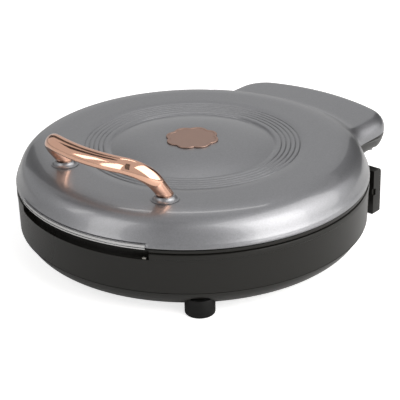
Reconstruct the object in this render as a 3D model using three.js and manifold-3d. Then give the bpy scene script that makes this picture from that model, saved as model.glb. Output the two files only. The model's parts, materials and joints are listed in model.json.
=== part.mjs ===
// Double-sided griddle: two round cooking plates in a drum-shaped base and a hinged, domed lid.
// Millimetres, +Z up, front at -Y, standing on Z = 0 with the middle of its outline at the origin.

import * as THREE from 'three';
import { mergeVertices } from 'three/addons/utils/BufferGeometryUtils.js';
import Module from 'manifold-3d';

const wasm = await Module();
wasm.setup();

// Whole object
const lidRadius = 160;
const footHeight = 16.5;
const rimHeight = 50;
const fitGap = 0.3;
const cutOverrun = 2;
const roundSteps = 48;
const smallSteps = 12;
const cornerSteps = 5;
const rollSteps = 4;
const screwSteps = 8;

const rimZ = footHeight + rimHeight;

// Lid shell, heights measured up from its lower rim
const lidWall = 1.6;
const lidLipWidth = 5;
const lidLipHeight = 5;
const rimBandHeight = 3.6;
const rimCreaseDepth = 1;
const rimCreaseHeight = 0.5;
const shoulderLean = 4.5;
const shoulderFullness = 9;
const crownHeight = 26;
const shoulderWidth = 31;
const shoulderTopReach = 26;
const shoulderSteps = 7;
const shoulderInnerSteps = 4;
const grooveInset = 31.5;
const groovePitch = 4.2;
const grooveWidth = 1.6;
const grooveDepth = 0.6;
const grooveCount = 5;
const discMargin = 7.7;
const discStep = 2.2;
const discStepWidth = 3;
const discRise = 7;
const discFlatRadius = 27;
const discSteps = 4;
const discInnerSteps = 2;

const crownRadius = lidRadius - shoulderWidth;
const grooveOuterRadius = crownRadius - grooveInset;
const discRadius = grooveOuterRadius - (grooveCount - 1) * groovePitch - discMargin;

// Opening for the wires between the lid and its wing
const wirePassageWidth = 18;
const wirePassageHeight = 3;

// Wing behind the lid, which hides the hinge
const wingHalfWidth = 86;
const wingReach = 55;
const wingOverlap = 50;
const wingCornerRadius = 34;
const wingTopHeight = 13;
const wingDrop = 10.7;
const wingEdgeRadius = 12;
const wingWall = 2.2;
const wingDrumGap = 2;

const wingRearY = lidRadius + wingReach;
const wingFrontY = lidRadius - wingOverlap;

// Black tray under the wing
const coverDrop = 13.8;
const coverWall = 2;
const coverEdgeRadius = 7;
const coverFrontSlope = 6.5;
const coverScrewRadius = 1.5;
const coverScrewLength = 22;
const coverScrewHeadRadius = 3.2;
const coverScrewHeadHeight = 2;
const coverScrewSideInset = 20;
const coverScrewInset = 26;
const coverBossRadius = 4;

const coverScrewX = wingHalfWidth - coverScrewSideInset;

// Hinge: a yoke that floats up and down in the base, and two pins
const hingeReach = 20;
const hingeDrop = 11;
const hingeArmX = 40;
const hingeArmWidth = 8;
const hingeEyeRadius = 7.5;
const hingePinRadius = 3;
const hingePinClearance = 0.25;
const hingeSideClearance = 0.6;
const hingeCheekWidth = 4;
const hingeCheekRadius = 7;
const hingeBracketTopThickness = 2.5;
const hingeFloat = 6;
const hingeWindowClearance = 1;
const hingeSlotRearReach = 20;
const armRootHeight = 9;
const armRootRise = 21.5;
const armRootInset = 4.5;
const armKneeInset = 1.5;
const yokeBarInset = 6.6;
const yokeBarWidth = 5.5;
const yokeBarHeight = 8;
const yokeBarHalfAngle = Math.PI * 20 / 180;
const guideAngle = Math.PI * 9 / 180;
const guideRadius = 1.5;
const guideClearance = 0.35;
const guideBossRadius = 4.5;
const guideBossHeight = 9;

const hingeY = lidRadius + hingeReach;
const armKneeY = lidRadius - armKneeInset;
const armRootZ = footHeight + armRootRise;

// Trim strip and notch at the front
const frontHalfAngle = Math.PI * 24 / 180;
const stripDepth = 2.6;
const stripEdge = 0.25;
const stripGrooveDepth = 1;
const stripGrooveWidth = 0.8;
const notchDepth = 3.5;
const notchDrop = 2.6;

// Handle
const handleFootX = 58.5;
const handleFootInset = 26;
const handleLean = 22;
const handleRise = 30;
const handleBow = 10;
const handleBendRadius = 21;
const handleBarWidth = 15;
const handleBarThickness = 10.5;
const handleLegWidth = 13;
const handleSectionSteps = 12;
const handleBendSteps = 5;
const handleBarSteps = 3;
const handleSeatRadius = 12.5;
const handleSeatTopRadius = 8.4;
const handleSeatHeight = 3.6;
const handleSeatEdge = 0.8;
const handleScrewRadius = 2;
const handleScrewHeadRadius = 4;
const handleScrewHeadHeight = 2.4;
const handleScrewReach = 4.5;
const handleScrewClearance = 0.3;

const handleFootY = crownRadius - handleFootInset;

// Medallion
const medallionLobeSteps = 6;
const medallionRadius = 25;
const medallionThickness = 1;
const medallionLobes = 10;
const medallionLobeDepth = 1.8;

// Cooking plates
const plateInset = 10;
const plateFlangeWidth = 7;
const plateFlangeThickness = 2;
const plateSlopeWidth = 11;
const plateThickness = 3.6;
const plateLipWidth = 3;
const lowerPlateDepth = 23;
const upperPlateDepth = 6.5;
const plateClosingGap = 0.5;
const plateSeatBelowRim = 2.5;
const plateBossRadius = 4.5;
const plateBossInset = 14;
const plateBossCount = 3;

const plateFlangeRadius = lidRadius - plateInset;
const plateMouthRadius = plateFlangeRadius - plateFlangeWidth;
const plateFloorRadius = plateMouthRadius - plateSlopeWidth;
const plateBossOrbit = plateFloorRadius - plateBossInset;

// Heating elements, reflectors and controls
const elementInset = 37;
const elementRadius = 3.3;
const elementOpenAngle = Math.PI * 14 / 180;
const elementTailLength = 22;
const elementSides = 6;
const elementArcSteps = 20;
const reflectorInset = 4;
const reflectorThickness = 0.8;
const reflectorWallHeight = 6;
const reflectorWallSpread = 2;
const lowerReflectorDrop = 11.5;
const upperReflectorRise = 11;
const reflectorScrewRadius = 1.7;
const reflectorScrewHeadRadius = 3.4;
const reflectorScrewHeadHeight = 2;
const reflectorScrewLength = 7;
const thermostatRadius = 8;
const thermostatHeight = 6;
const thermostatCapRadius = 5;
const thermostatCapHeight = 2.2;
const thermostatEarHalfLength = 13;
const thermostatEarWidth = 5;
const thermostatEarThickness = 0.8;
const fuseOrbit = 52;
const fuseRadius = 2.4;
const fuseLength = 26;
const fuseStandoff = 2;
const fuseClipWidth = 6;

const elementOrbit = plateFloorRadius - elementInset;
const reflectorRadius = plateFloorRadius - reflectorInset;

// Base drum
const baseTopDrop = 5;
const baseInset = 2.4;
const baseTaper = 3;
const baseCreaseHeight = 8;
const baseUndercut = 1;
const baseEdgeRadius = 4;
const baseEdgeSteps = 4;
const baseWall = 2.4;
const baseLedgeInset = 11.6;
const baseLedgeHeight = 7.5;
const baseLipWidth = 18.6;
const baseLipThickness = 2.4;
const baseRingInset = 1;
const baseRingPlateGap = 1.5;
const baseRingGap = 0.4;
const baseRingTopDrop = 1;

const baseTopRadius = lidRadius - baseInset;
const baseCreaseRadius = baseTopRadius - baseTaper;
const baseFootRadius = baseCreaseRadius - baseUndercut;
const baseLedgeRadius = baseTopRadius - baseLedgeInset;
const baseLipRadius = baseFootRadius - baseLipWidth;
const baseRingRadius = lidRadius - baseRingInset;
const baseRingInnerRadius = plateFlangeRadius + baseRingPlateGap;
const yokeBarOuterRadius = baseTopRadius - yokeBarInset;
const yokeBarInnerRadius = yokeBarOuterRadius - yokeBarWidth;
const armRootY = yokeBarInnerRadius - armRootInset;

// Ring that holds the upper plate in the lid
const bezelFlangeThickness = 2;
const bezelFlangeWidth = 4;
const bezelPlateGap = 0.8;
const bezelStandOff = 0.5;

const bezelInnerRadius = plateFlangeRadius + bezelPlateGap;

// Bottom cover, feet and the rear stand
const bottomCoverThickness = 2;
const bottomCoverClearance = 0.5;
const ventCount = 12;
const ventOrbit = 70;
const ventLength = 26;
const ventWidth = 4;
const footInset = 13.6;
const footTopRadius = 11.5;
const footBottomRadius = 10.3;
const footEdge = 1.2;
const footCount = 4;
const footScrewRadius = 2;
const footScrewClearance = 0.3;
const footScrewHeadRadius = 3.8;
const footScrewHeadHeight = 2.4;
const footScrewHeadDepth = 8;
const footScrewLength = 18;
const footPostRadius = 6;
const footPostHeight = 12;
const standHalfWidth = 101;
const standRearInset = 3.3;
const standThickness = 12.5;
const standRise = 23.5;
const standLegWidth = 24;
const standCornerRadius = 2.5;
const standTopRadius = 4;
const standClipHeight = 6.5;
const standClipDepth = 1.6;
const standClipWidth = 3.5;
const standClipRise = 3;

const footOrbit = baseFootRadius - footInset;
const standRearY = baseTopRadius - standRearInset;
const standHeight = footHeight + standRise;
const standClipZ = footHeight + standClipRise;

// Power inlet and terminals
const inletAngle = Math.PI * 160 / 180;
const inletWidth = 32;
const inletHeight = 22;
const inletDepth = 18;
const inletFlange = 2.5;
const inletFlangeThickness = 2.4;
const inletWall = 2.2;
const inletFaceInset = 1.1;
const inletRise = 16.5;
const inletPinWidth = 4;
const inletPinThickness = 2;
const inletPinLength = 12;
const inletPinPitch = 7;
const inletPinTail = 5;
const inletPinRise = 2;
const terminalBearing = Math.PI;
const terminalInset = 15.1;
const terminalLength = 34;
const terminalWidth = 10;
const terminalHeight = 9;
const terminalBoreRadius = 2;
const terminalCount = 3;

const inletFaceRadius = baseTopRadius - inletFaceInset;
const terminalOrbit = baseCreaseRadius - terminalInset;
const inletCentreZ = footHeight + inletRise;

// Indicator lens in the right end of the notch
const lensWidth = 4.5;
const lensHeight = 1.6;
const lensDepth = 2;
const lensEndMargin = 3;

// Finishes: colour, roughness, metalness
const finishes = {
  greyPaint: { color: 0x86868a, roughness: 0.32, metalness: 0.55 },
  blackPlastic: { color: 0x26262a, roughness: 0.4, metalness: 0 },
  blackRubber: { color: 0x1c1c1c, roughness: 0.85, metalness: 0 },
  roseGold: { color: 0xd9a184, roughness: 0.12, metalness: 1 },
  bronze: { color: 0x96786b, roughness: 0.35, metalness: 0.8 },
  chrome: { color: 0xd8d8da, roughness: 0.12, metalness: 1 },
  nonStick: { color: 0x2b2b2d, roughness: 0.55, metalness: 0.2 },
  aluminium: { color: 0xb9bcc0, roughness: 0.35, metalness: 1 },
  steel: { color: 0x9a9da1, roughness: 0.4, metalness: 1 },
  brass: { color: 0xc0a35a, roughness: 0.3, metalness: 1 },
  ceramic: { color: 0xe8e4da, roughness: 0.6, metalness: 0 },
  lens: { color: 0xd8d4cc, roughness: 0.1, metalness: 0 },
};

// Making and joining solids
const weldTolerance = 1e-4;
const axisX = new THREE.Vector3(1, 0, 0);
const axisY = new THREE.Vector3(0, 1, 0);
const axisZ = new THREE.Vector3(0, 0, 1);
const sides = [{ name: 'left', sign: -1 }, { name: 'right', sign: 1 }];

function toSolid(geometry) {
  const bare = geometry.clone();
  bare.deleteAttribute('normal');
  bare.deleteAttribute('uv');
  const welded = mergeVertices(bare, weldTolerance);
  const index = welded.index.array;
  const kept = [];
  for (let i = 0; i < index.length; i += 3) {
    const [a, b, c] = [index[i], index[i + 1], index[i + 2]];
    if (a !== b && b !== c && c !== a) kept.push(a, b, c);
  }
  const mesh = new wasm.Mesh({
    numProp: 3,
    vertProperties: new Float32Array(welded.attributes.position.array),
    triVerts: new Uint32Array(kept),
  });
  return new wasm.Manifold(mesh);
}

function toGeometry(solid) {
  const mesh = solid.getMesh();
  const geometry = new THREE.BufferGeometry();
  geometry.setAttribute('position', new THREE.BufferAttribute(new Float32Array(mesh.vertProperties), 3));
  geometry.setIndex(new THREE.BufferAttribute(new Uint32Array(mesh.triVerts), 1));
  geometry.computeVertexNormals();
  return geometry;
}

function joined(solids) {
  return solids.reduce((whole, solid) => whole.add(solid));
}

function piece(name, shape, finish) {
  const geometry = shape.isBufferGeometry ? shape : toGeometry(shape);
  const mesh = new THREE.Mesh(geometry, new THREE.MeshStandardMaterial(finish));
  mesh.name = name;
  return mesh;
}

// A solid of revolution about Z, from [radius, height] points that run round it anticlockwise.
function turned(points, steps = roundSteps) {
  const profile = points.map(([radius, height]) => new THREE.Vector2(radius, height));
  return new THREE.LatheGeometry(profile, steps).rotateX(Math.PI / 2);
}

function turnedRing(innerRadius, outerRadius, lowZ, highZ, steps = roundSteps) {
  return turned([
    [innerRadius, lowZ], [outerRadius, lowZ], [outerRadius, highZ], [innerRadius, highZ], [innerRadius, lowZ],
  ], steps);
}

function turnedDisc(radius, lowZ, highZ, steps = smallSteps) {
  return turned([[0, lowZ], [radius, lowZ], [radius, highZ], [0, highZ]], steps);
}

function block(sizeX, sizeY, sizeZ, centre) {
  return new THREE.BoxGeometry(sizeX, sizeY, sizeZ).translate(centre[0], centre[1], centre[2]);
}

function extrudedUp(shape, lowZ, highZ, curveSegments = smallSteps) {
  const geometry = new THREE.ExtrudeGeometry(shape, { depth: highZ - lowZ, bevelEnabled: false, curveSegments });
  return geometry.translate(0, 0, lowZ);
}

// A profile drawn in the Y-Z plane, given its thickness along X.
function extrudedAcross(shape, lowX, highX, curveSegments = smallSteps) {
  const geometry = new THREE.ExtrudeGeometry(shape, { depth: highX - lowX, bevelEnabled: false, curveSegments });
  return geometry.applyMatrix4(new THREE.Matrix4().makeBasis(axisY, axisZ, axisX)).translate(lowX, 0, 0);
}

// A profile drawn in the X-Z plane, given its thickness along Y.
function extrudedAlong(shape, lowY, highY, curveSegments = smallSteps) {
  const geometry = new THREE.ExtrudeGeometry(shape, { depth: highY - lowY, bevelEnabled: false, curveSegments });
  return geometry.rotateX(Math.PI / 2).translate(0, highY, 0);
}

function movedTo(geometry, x, y) {
  return geometry.translate(x, y, 0);
}

// A plan-view sector of a ring, centred on the front (-Y) or another bearing.
function sectorShape(innerRadius, outerRadius, halfAngle, bearing = -Math.PI / 2) {
  const shape = new THREE.Shape();
  shape.absarc(0, 0, outerRadius, bearing - halfAngle, bearing + halfAngle, false);
  shape.absarc(0, 0, innerRadius, bearing + halfAngle, bearing - halfAngle, true);
  shape.closePath();
  return shape;
}

// A closed skin over rings of points, all with the same count and turning the same way.
function lofted(rings) {
  const count = rings[0].length;
  const positions = rings.flat().flatMap((point) => [point.x, point.y, point.z]);
  const faces = [];
  for (let ring = 0; ring + 1 < rings.length; ring += 1) {
    for (let side = 0; side < count; side += 1) {
      const next = (side + 1) % count;
      const a = ring * count + side;
      const b = ring * count + next;
      const c = a + count;
      const d = b + count;
      faces.push(a, b, d, a, d, c);
    }
  }
  const lastStart = (rings.length - 1) * count;
  for (let side = 1; side + 1 < count; side += 1) {
    faces.push(0, side + 1, side);
    faces.push(lastStart, lastStart + side, lastStart + side + 1);
  }
  const geometry = new THREE.BufferGeometry();
  geometry.setAttribute('position', new THREE.Float32BufferAttribute(positions, 3));
  geometry.setIndex(faces);
  return geometry;
}

// Lid shell
function shoulderCurve(inset, steps) {
  const start = new THREE.Vector2(lidRadius - rimCreaseDepth - inset, rimBandHeight + rimCreaseHeight);
  const lower = new THREE.Vector2(start.x - shoulderLean, start.y + shoulderFullness);
  const end = new THREE.Vector2(crownRadius, crownHeight - inset);
  const upper = new THREE.Vector2(end.x + shoulderTopReach - inset, end.y - rimCreaseDepth);
  return new THREE.CubicBezierCurve(start, lower, upper, end).getPoints(steps).map((point) => [point.x, point.y]);
}

function discHeight(radius) {
  const outward = (radius - discFlatRadius) / (discRadius - discFlatRadius);
  return crownHeight - discStep + discRise * (1 - outward * outward);
}

const discTopHeight = discHeight(discFlatRadius);

function discPoints(inset, steps) {
  const points = [];
  for (let i = 0; i <= steps; i += 1) {
    const radius = discRadius + (discFlatRadius - discRadius) * i / steps;
    points.push([radius, discHeight(radius) - inset]);
  }
  points.push([0, discTopHeight - inset]);
  return points;
}

function groovePoints() {
  const points = [];
  for (let i = 0; i < grooveCount; i += 1) {
    const middle = grooveOuterRadius - i * groovePitch;
    points.push([middle + grooveWidth / 2, crownHeight]);
    points.push([middle, crownHeight - grooveDepth]);
    points.push([middle - grooveWidth / 2, crownHeight]);
  }
  return points;
}

function lidOuterPoints() {
  return [
    [lidRadius, 0],
    [lidRadius, rimBandHeight],
    ...shoulderCurve(0, shoulderSteps),
    ...groovePoints(),
    [discRadius + discStepWidth, crownHeight],
    ...discPoints(0, discSteps),
  ];
}

function lidInnerPoints() {
  return [
    [lidRadius - lidLipWidth, 0],
    [lidRadius - lidLipWidth, lidLipHeight],
    ...shoulderCurve(lidWall, shoulderInnerSteps).slice(1),
    [discRadius + discStepWidth + lidWall, crownHeight - lidWall],
    ...discPoints(lidWall, discInnerSteps),
  ];
}

// The wing's plan: straight sides, round corners and a rear edge that runs round the drum's axis.
function wingPlan(inset) {
  const halfWidth = wingHalfWidth - inset;
  const rearRadius = wingRearY - inset;
  const cornerRadius = wingCornerRadius - inset;
  const cornerX = halfWidth - cornerRadius;
  const cornerY = Math.sqrt((rearRadius - cornerRadius) ** 2 - cornerX ** 2);
  const bearing = Math.atan2(cornerY, cornerX);
  const shape = new THREE.Shape();
  shape.moveTo(-halfWidth, wingFrontY);
  shape.lineTo(halfWidth, wingFrontY);
  shape.absarc(cornerX, cornerY, cornerRadius, 0, bearing, false);
  shape.absarc(0, 0, rearRadius, bearing, Math.PI - bearing, false);
  shape.absarc(-cornerX, cornerY, cornerRadius, Math.PI - bearing, Math.PI, false);
  shape.closePath();
  return shape;
}

// The wing's plan given height, with its upper and lower edges rolled over.
function rolledWing(inset, lowZ, highZ, edgeRadius) {
  const geometry = new THREE.ExtrudeGeometry(wingPlan(inset), {
    depth: highZ - lowZ - 2 * edgeRadius,
    bevelThickness: edgeRadius,
    bevelSize: edgeRadius,
    bevelOffset: -edgeRadius,
    bevelSegments: rollSteps,
    curveSegments: rollSteps,
  });
  return toSolid(geometry.translate(0, 0, lowZ + edgeRadius));
}

// The wing's outer form, inset by a wall, down to a height.
function wingForm(inset, lowZ) {
  const edgeRadius = wingEdgeRadius - inset;
  return rolledWing(inset, lowZ - 2 * edgeRadius, wingTopHeight - inset, edgeRadius).trimByPlane([0, 0, 1], lowZ);
}

function coverScrewPlaces() {
  return sides.map(({ name, sign }) => ({ name, x: sign * coverScrewX, y: wingRearY - coverScrewInset }));
}

// A straight hole or a boss on a line along Z.
function post(radius, lowZ, highZ, x, y) {
  return toSolid(movedTo(turnedDisc(radius, lowZ, highZ), x, y));
}

function lidShell() {
  const wallRadius = lidRadius + wingDrumGap;
  const below = -wingDrop - cutOverrun;
  const dome = toSolid(turned([[0, 0], ...lidOuterPoints()]));
  const domeInside = toSolid(turned([[0, -cutOverrun], [lidRadius - lidLipWidth, -cutOverrun], ...lidInnerPoints()]));
  const drumSpace = toSolid(turnedDisc(wallRadius, below, 0, roundSteps));
  const wallSpace = toSolid(turnedDisc(wallRadius + wingWall, below, wingWall, roundSteps));
  const wingInside = wingForm(wingWall, below).subtract(wallSpace).subtract(dome);
  let shell = dome.add(wingForm(0, -wingDrop).subtract(drumSpace)).subtract(domeInside).subtract(wingInside);
  for (const { x, y } of coverScrewPlaces()) {
    const roof = wingTopHeight - wingWall / 2;
    shell = shell.add(post(coverBossRadius, -wingDrop, roof, x, y));
    shell = shell.subtract(post(coverScrewRadius + fitGap, below, wingTopHeight - wingEdgeRadius + wingWall, x, y));
  }
  const strip = sectorShape(lidRadius - stripDepth, lidRadius + cutOverrun, frontHalfAngle);
  const stripSeat = toSolid(extrudedUp(strip, -cutOverrun, rimBandHeight, cornerSteps));
  const wirePassage = toSolid(block(
    wirePassageWidth, lidLipWidth * 2, wirePassageHeight,
    [0, lidRadius - lidLipWidth, rimBandHeight + wirePassageHeight / 2]));
  shell = shell.subtract(stripSeat).subtract(wirePassage);
  for (const { sign } of sides) {
    const radius = handleScrewRadius + handleScrewClearance;
    shell = shell.subtract(post(radius, 0, crownHeight + cutOverrun, sign * handleFootX, -handleFootY));
  }
  return shell;
}

// Scalloped medallion on the flat middle of the disc
function medallion() {
  const outline = new THREE.Shape();
  const steps = medallionLobes * medallionLobeSteps;
  for (let i = 0; i < steps; i += 1) {
    const angle = 2 * Math.PI * i / steps;
    const lobe = Math.abs(Math.sin(angle * medallionLobes / 2));
    const radius = medallionRadius - medallionLobeDepth * (1 - lobe);
    const [x, y] = [radius * Math.cos(angle), radius * Math.sin(angle)];
    if (i === 0) outline.moveTo(x, y);
    else outline.lineTo(x, y);
  }
  outline.closePath();
  const lowZ = discTopHeight + fitGap;
  return extrudedUp(outline, lowZ, lowZ + medallionThickness);
}

// Handle: a bowed bar on two leaning legs, swept with a flattened round section
const handleSeatZ = crownHeight + fitGap;
const handleFootZ = handleSeatZ + handleSeatHeight + fitGap;
const handleReach = Math.hypot(handleLean, handleRise);

function handleStations() {
  const stations = [{ x: -handleFootX, along: 0 }];
  const straight = handleReach - handleBendRadius;
  for (let i = 0; i <= handleBendSteps; i += 1) {
    const angle = Math.PI / 2 * i / handleBendSteps;
    stations.push({
      x: -handleFootX + handleBendRadius * (1 - Math.cos(angle)),
      along: straight + handleBendRadius * Math.sin(angle),
    });
  }
  const barStart = -handleFootX + handleBendRadius;
  for (let i = 1; i < handleBarSteps; i += 1) {
    stations.push({ x: barStart + (0 - barStart) * i / handleBarSteps, along: handleReach });
  }
  const mirrored = stations.map(({ x, along }) => ({ x: -x, along })).reverse();
  return [...stations, { x: 0, along: handleReach }, ...mirrored];
}

function handlePoint({ x, along }) {
  const share = along / handleReach;
  const bow = handleBow * (1 - (x / handleFootX) ** 2);
  return new THREE.Vector3(x, -handleFootY - (handleLean + bow) * share, handleFootZ + handleRise * share);
}

function handleBar() {
  const stations = handleStations();
  const points = stations.map(handlePoint);
  const leanAxis = new THREE.Vector3(0, -handleLean, handleRise).normalize();
  const acrossAxis = new THREE.Vector3().crossVectors(axisX, leanAxis);
  const rings = points.map((point, i) => {
    const before = points[Math.max(i - 1, 0)];
    const after = points[Math.min(i + 1, points.length - 1)];
    const tangent = new THREE.Vector3().subVectors(after, before).normalize();
    const thicknessAxis = new THREE.Vector3().crossVectors(tangent, acrossAxis).normalize();
    const barShare = stations[i].along / handleReach;
    const width = handleLegWidth + (handleBarWidth - handleLegWidth) * barShare;
    const thickness = handleLegWidth + (handleBarThickness - handleLegWidth) * barShare;
    const isEnd = i === 0 || i === points.length - 1;
    return Array.from({ length: handleSectionSteps }, (_, step) => {
      const angle = 2 * Math.PI * step / handleSectionSteps;
      const corner = point.clone()
        .addScaledVector(acrossAxis, width / 2 * Math.cos(angle))
        .addScaledVector(thicknessAxis, thickness / 2 * Math.sin(angle));
      if (isEnd) corner.addScaledVector(leanAxis, (handleFootZ - corner.z) / leanAxis.z);
      return corner;
    });
  });
  let bar = toSolid(lofted(rings));
  for (const { sign } of sides) {
    const radius = handleScrewRadius + handleScrewClearance;
    const top = handleFootZ + handleScrewReach + handleScrewClearance;
    bar = bar.subtract(post(radius, handleFootZ - cutOverrun, top, sign * handleFootX, -handleFootY));
  }
  return bar;
}

function handleSeat() {
  const bore = handleScrewRadius + handleScrewClearance;
  return turned([
    [bore, 0], [handleSeatRadius, 0], [handleSeatRadius, handleSeatEdge],
    [handleSeatTopRadius, handleSeatHeight], [bore, handleSeatHeight], [bore, 0],
  ], smallSteps * 3 / 2);
}

// A screw standing head down on Z = 0, its shank pointing up.
function screw(shankRadius, headRadius, headHeight, shankLength) {
  return turned([
    [0, 0], [headRadius, 0], [headRadius, headHeight], [shankRadius, headHeight],
    [shankRadius, headHeight + shankLength], [0, headHeight + shankLength],
  ], screwSteps);
}

function trimStrip() {
  const [lowZ, highZ] = [stripEdge, rimBandHeight - stripEdge];
  const middleZ = rimBandHeight / 2;
  const backRadius = lidRadius - stripDepth + stripEdge;
  const ring = toSolid(turned([
    [backRadius, lowZ], [lidRadius, lowZ], [lidRadius, middleZ - stripGrooveWidth / 2],
    [lidRadius - stripGrooveDepth, middleZ], [lidRadius, middleZ + stripGrooveWidth / 2],
    [lidRadius, highZ], [backRadius, highZ], [backRadius, lowZ],
  ], roundSteps * 2));
  const wedge = sectorShape(backRadius / 2, lidRadius + cutOverrun, frontHalfAngle - stripEdge / lidRadius);
  return ring.intersect(toSolid(extrudedUp(wedge, -cutOverrun, rimBandHeight + cutOverrun, cornerSteps)));
}

// Cooking plate, drawn with its cooking side up and the top of its flange at Z = 0
function plateBossPlaces() {
  return Array.from({ length: plateBossCount }, (_, i) => {
    const angle = Math.PI / 2 + 2 * Math.PI * i / plateBossCount;
    return { x: plateBossOrbit * Math.cos(angle), y: plateBossOrbit * Math.sin(angle) };
  });
}

function cookingPlate(depth, bossLength) {
  const backZ = -depth - plateThickness;
  let plate = toSolid(turned([
    [0, backZ], [plateFloorRadius + plateLipWidth / 2, backZ],
    [plateMouthRadius + plateLipWidth, -plateFlangeThickness], [plateFlangeRadius, -plateFlangeThickness],
    [plateFlangeRadius, 0], [plateMouthRadius, 0], [plateFloorRadius, -depth], [0, -depth],
  ]));
  for (const { x, y } of plateBossPlaces()) {
    plate = plate.add(post(plateBossRadius, backZ - bossLength, backZ + plateThickness / 2, x, y));
    const boreTop = backZ - bossLength + reflectorScrewLength;
    plate = plate.subtract(post(reflectorScrewRadius + fitGap, backZ - bossLength - cutOverrun, boreTop, x, y));
  }
  return plate;
}

// Reflector dish, drawn with its floor's underside at Z = 0 and its wall turned up
function reflector() {
  const wallTop = reflectorThickness + reflectorWallHeight;
  const outerTop = reflectorRadius + reflectorWallSpread;
  let dish = toSolid(turned([
    [0, 0], [reflectorRadius, 0], [outerTop, wallTop], [outerTop - reflectorThickness, wallTop],
    [reflectorRadius - reflectorThickness, reflectorThickness], [0, reflectorThickness],
  ]));
  for (const { x, y } of plateBossPlaces()) {
    dish = dish.subtract(post(reflectorScrewRadius + fitGap, -cutOverrun, cutOverrun, x, y));
  }
  return dish;
}

// Sheathed heating element: most of a circle, with both ends turned in towards the middle
function heatingElement() {
  const path = [];
  const [start, end] = [Math.PI / 2 + elementOpenAngle, Math.PI * 5 / 2 - elementOpenAngle];
  const onCircle = (angle, radius) => new THREE.Vector3(radius * Math.cos(angle), radius * Math.sin(angle), 0);
  path.push(onCircle(start, elementOrbit - elementTailLength));
  for (let i = 0; i <= elementArcSteps; i += 1) {
    path.push(onCircle(start + (end - start) * i / elementArcSteps, elementOrbit));
  }
  path.push(onCircle(end, elementOrbit - elementTailLength));
  const rings = path.map((point, i) => {
    const before = path[Math.max(i - 1, 0)];
    const after = path[Math.min(i + 1, path.length - 1)];
    const tangent = new THREE.Vector3().subVectors(after, before).normalize();
    const sideways = new THREE.Vector3().crossVectors(tangent, axisZ);
    return Array.from({ length: elementSides }, (_, step) => {
      const angle = 2 * Math.PI * (step + 0.5) / elementSides;
      return point.clone()
        .addScaledVector(axisZ, elementRadius * Math.sin(angle) * -1)
        .addScaledVector(sideways, elementRadius * Math.cos(angle));
    });
  });
  return lofted(rings);
}

function thermostat() {
  const strap = block(
    thermostatEarHalfLength * 2, thermostatEarWidth, thermostatEarThickness, [0, 0, thermostatEarThickness / 2]);
  return joined([
    toSolid(turnedDisc(thermostatRadius, 0, thermostatHeight)),
    toSolid(turnedDisc(thermostatCapRadius, 0, thermostatHeight + thermostatCapHeight)),
    toSolid(strap),
  ]);
}

function thermalFuse() {
  const centreZ = fuseStandoff + fuseRadius;
  const body = turnedDisc(fuseRadius, -fuseLength / 2, fuseLength / 2).rotateY(Math.PI / 2).translate(0, 0, centreZ);
  const clip = block(fuseClipWidth, fuseRadius * 2, centreZ, [0, 0, centreZ / 2]);
  return joined([toSolid(body), toSolid(clip)]);
}

function upperBezel() {
  const outerRadius = lidRadius - lidLipWidth - fitGap;
  const flangeInner = bezelInnerRadius - bezelFlangeWidth;
  const flangeTop = fitGap + bezelFlangeThickness;
  return turned([
    [bezelInnerRadius, -bezelStandOff], [outerRadius, -bezelStandOff], [outerRadius, flangeTop],
    [flangeInner, flangeTop], [flangeInner, fitGap], [bezelInnerRadius, fitGap], [bezelInnerRadius, -bezelStandOff],
  ]);
}

// Black tray that closes the wing from below and lets the hinge arms in
function coverForm(inset, highZ) {
  const lowZ = -wingDrop - coverDrop + inset;
  return rolledWing(inset, lowZ, highZ + 2 * coverEdgeRadius, coverEdgeRadius).trimByPlane([0, 0, -1], -highZ);
}

function drumCone(extraRadius, lowZ, highZ) {
  const topRadius = lidRadius + wingDrumGap + extraRadius;
  const slope = coverFrontSlope / coverDrop;
  const atHeight = (z) => topRadius + slope * (-wingDrop - z);
  return toSolid(turned([[0, lowZ], [atHeight(lowZ), lowZ], [atHeight(highZ), highZ], [0, highZ]]));
}

function wingCover() {
  const topZ = -wingDrop - fitGap;
  const [lowZ, highZ] = [-wingDrop - coverDrop - cutOverrun, cutOverrun];
  const outer = coverForm(fitGap, topZ).subtract(drumCone(0, lowZ, highZ));
  const hollow = coverForm(coverWall, topZ + cutOverrun).subtract(drumCone(coverWall, lowZ, highZ));
  let tray = outer.subtract(hollow);
  const slotWidth = hingeArmWidth + 2 * hingeWindowClearance;
  const slotRearY = hingeY + hingeSlotRearReach;
  for (const { sign } of sides) {
    const slot = block(
      slotWidth, slotRearY - wingFrontY, highZ - lowZ,
      [sign * hingeArmX, (slotRearY + wingFrontY) / 2, (lowZ + highZ) / 2]);
    tray = tray.subtract(toSolid(slot));
  }
  for (const { x, y } of coverScrewPlaces()) {
    tray = tray.subtract(post(coverScrewRadius + fitGap, lowZ, topZ, x, y));
  }
  return tray;
}

// Hinge bracket in the wing: two cheeks either side of an arm, joined under the wing's roof
const hingeAxisZ = -hingeDrop;
const hingeRoofZ = wingTopHeight - wingWall - fitGap;
const hingeCheekOffset = hingeArmWidth / 2 + hingeSideClearance;

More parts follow.
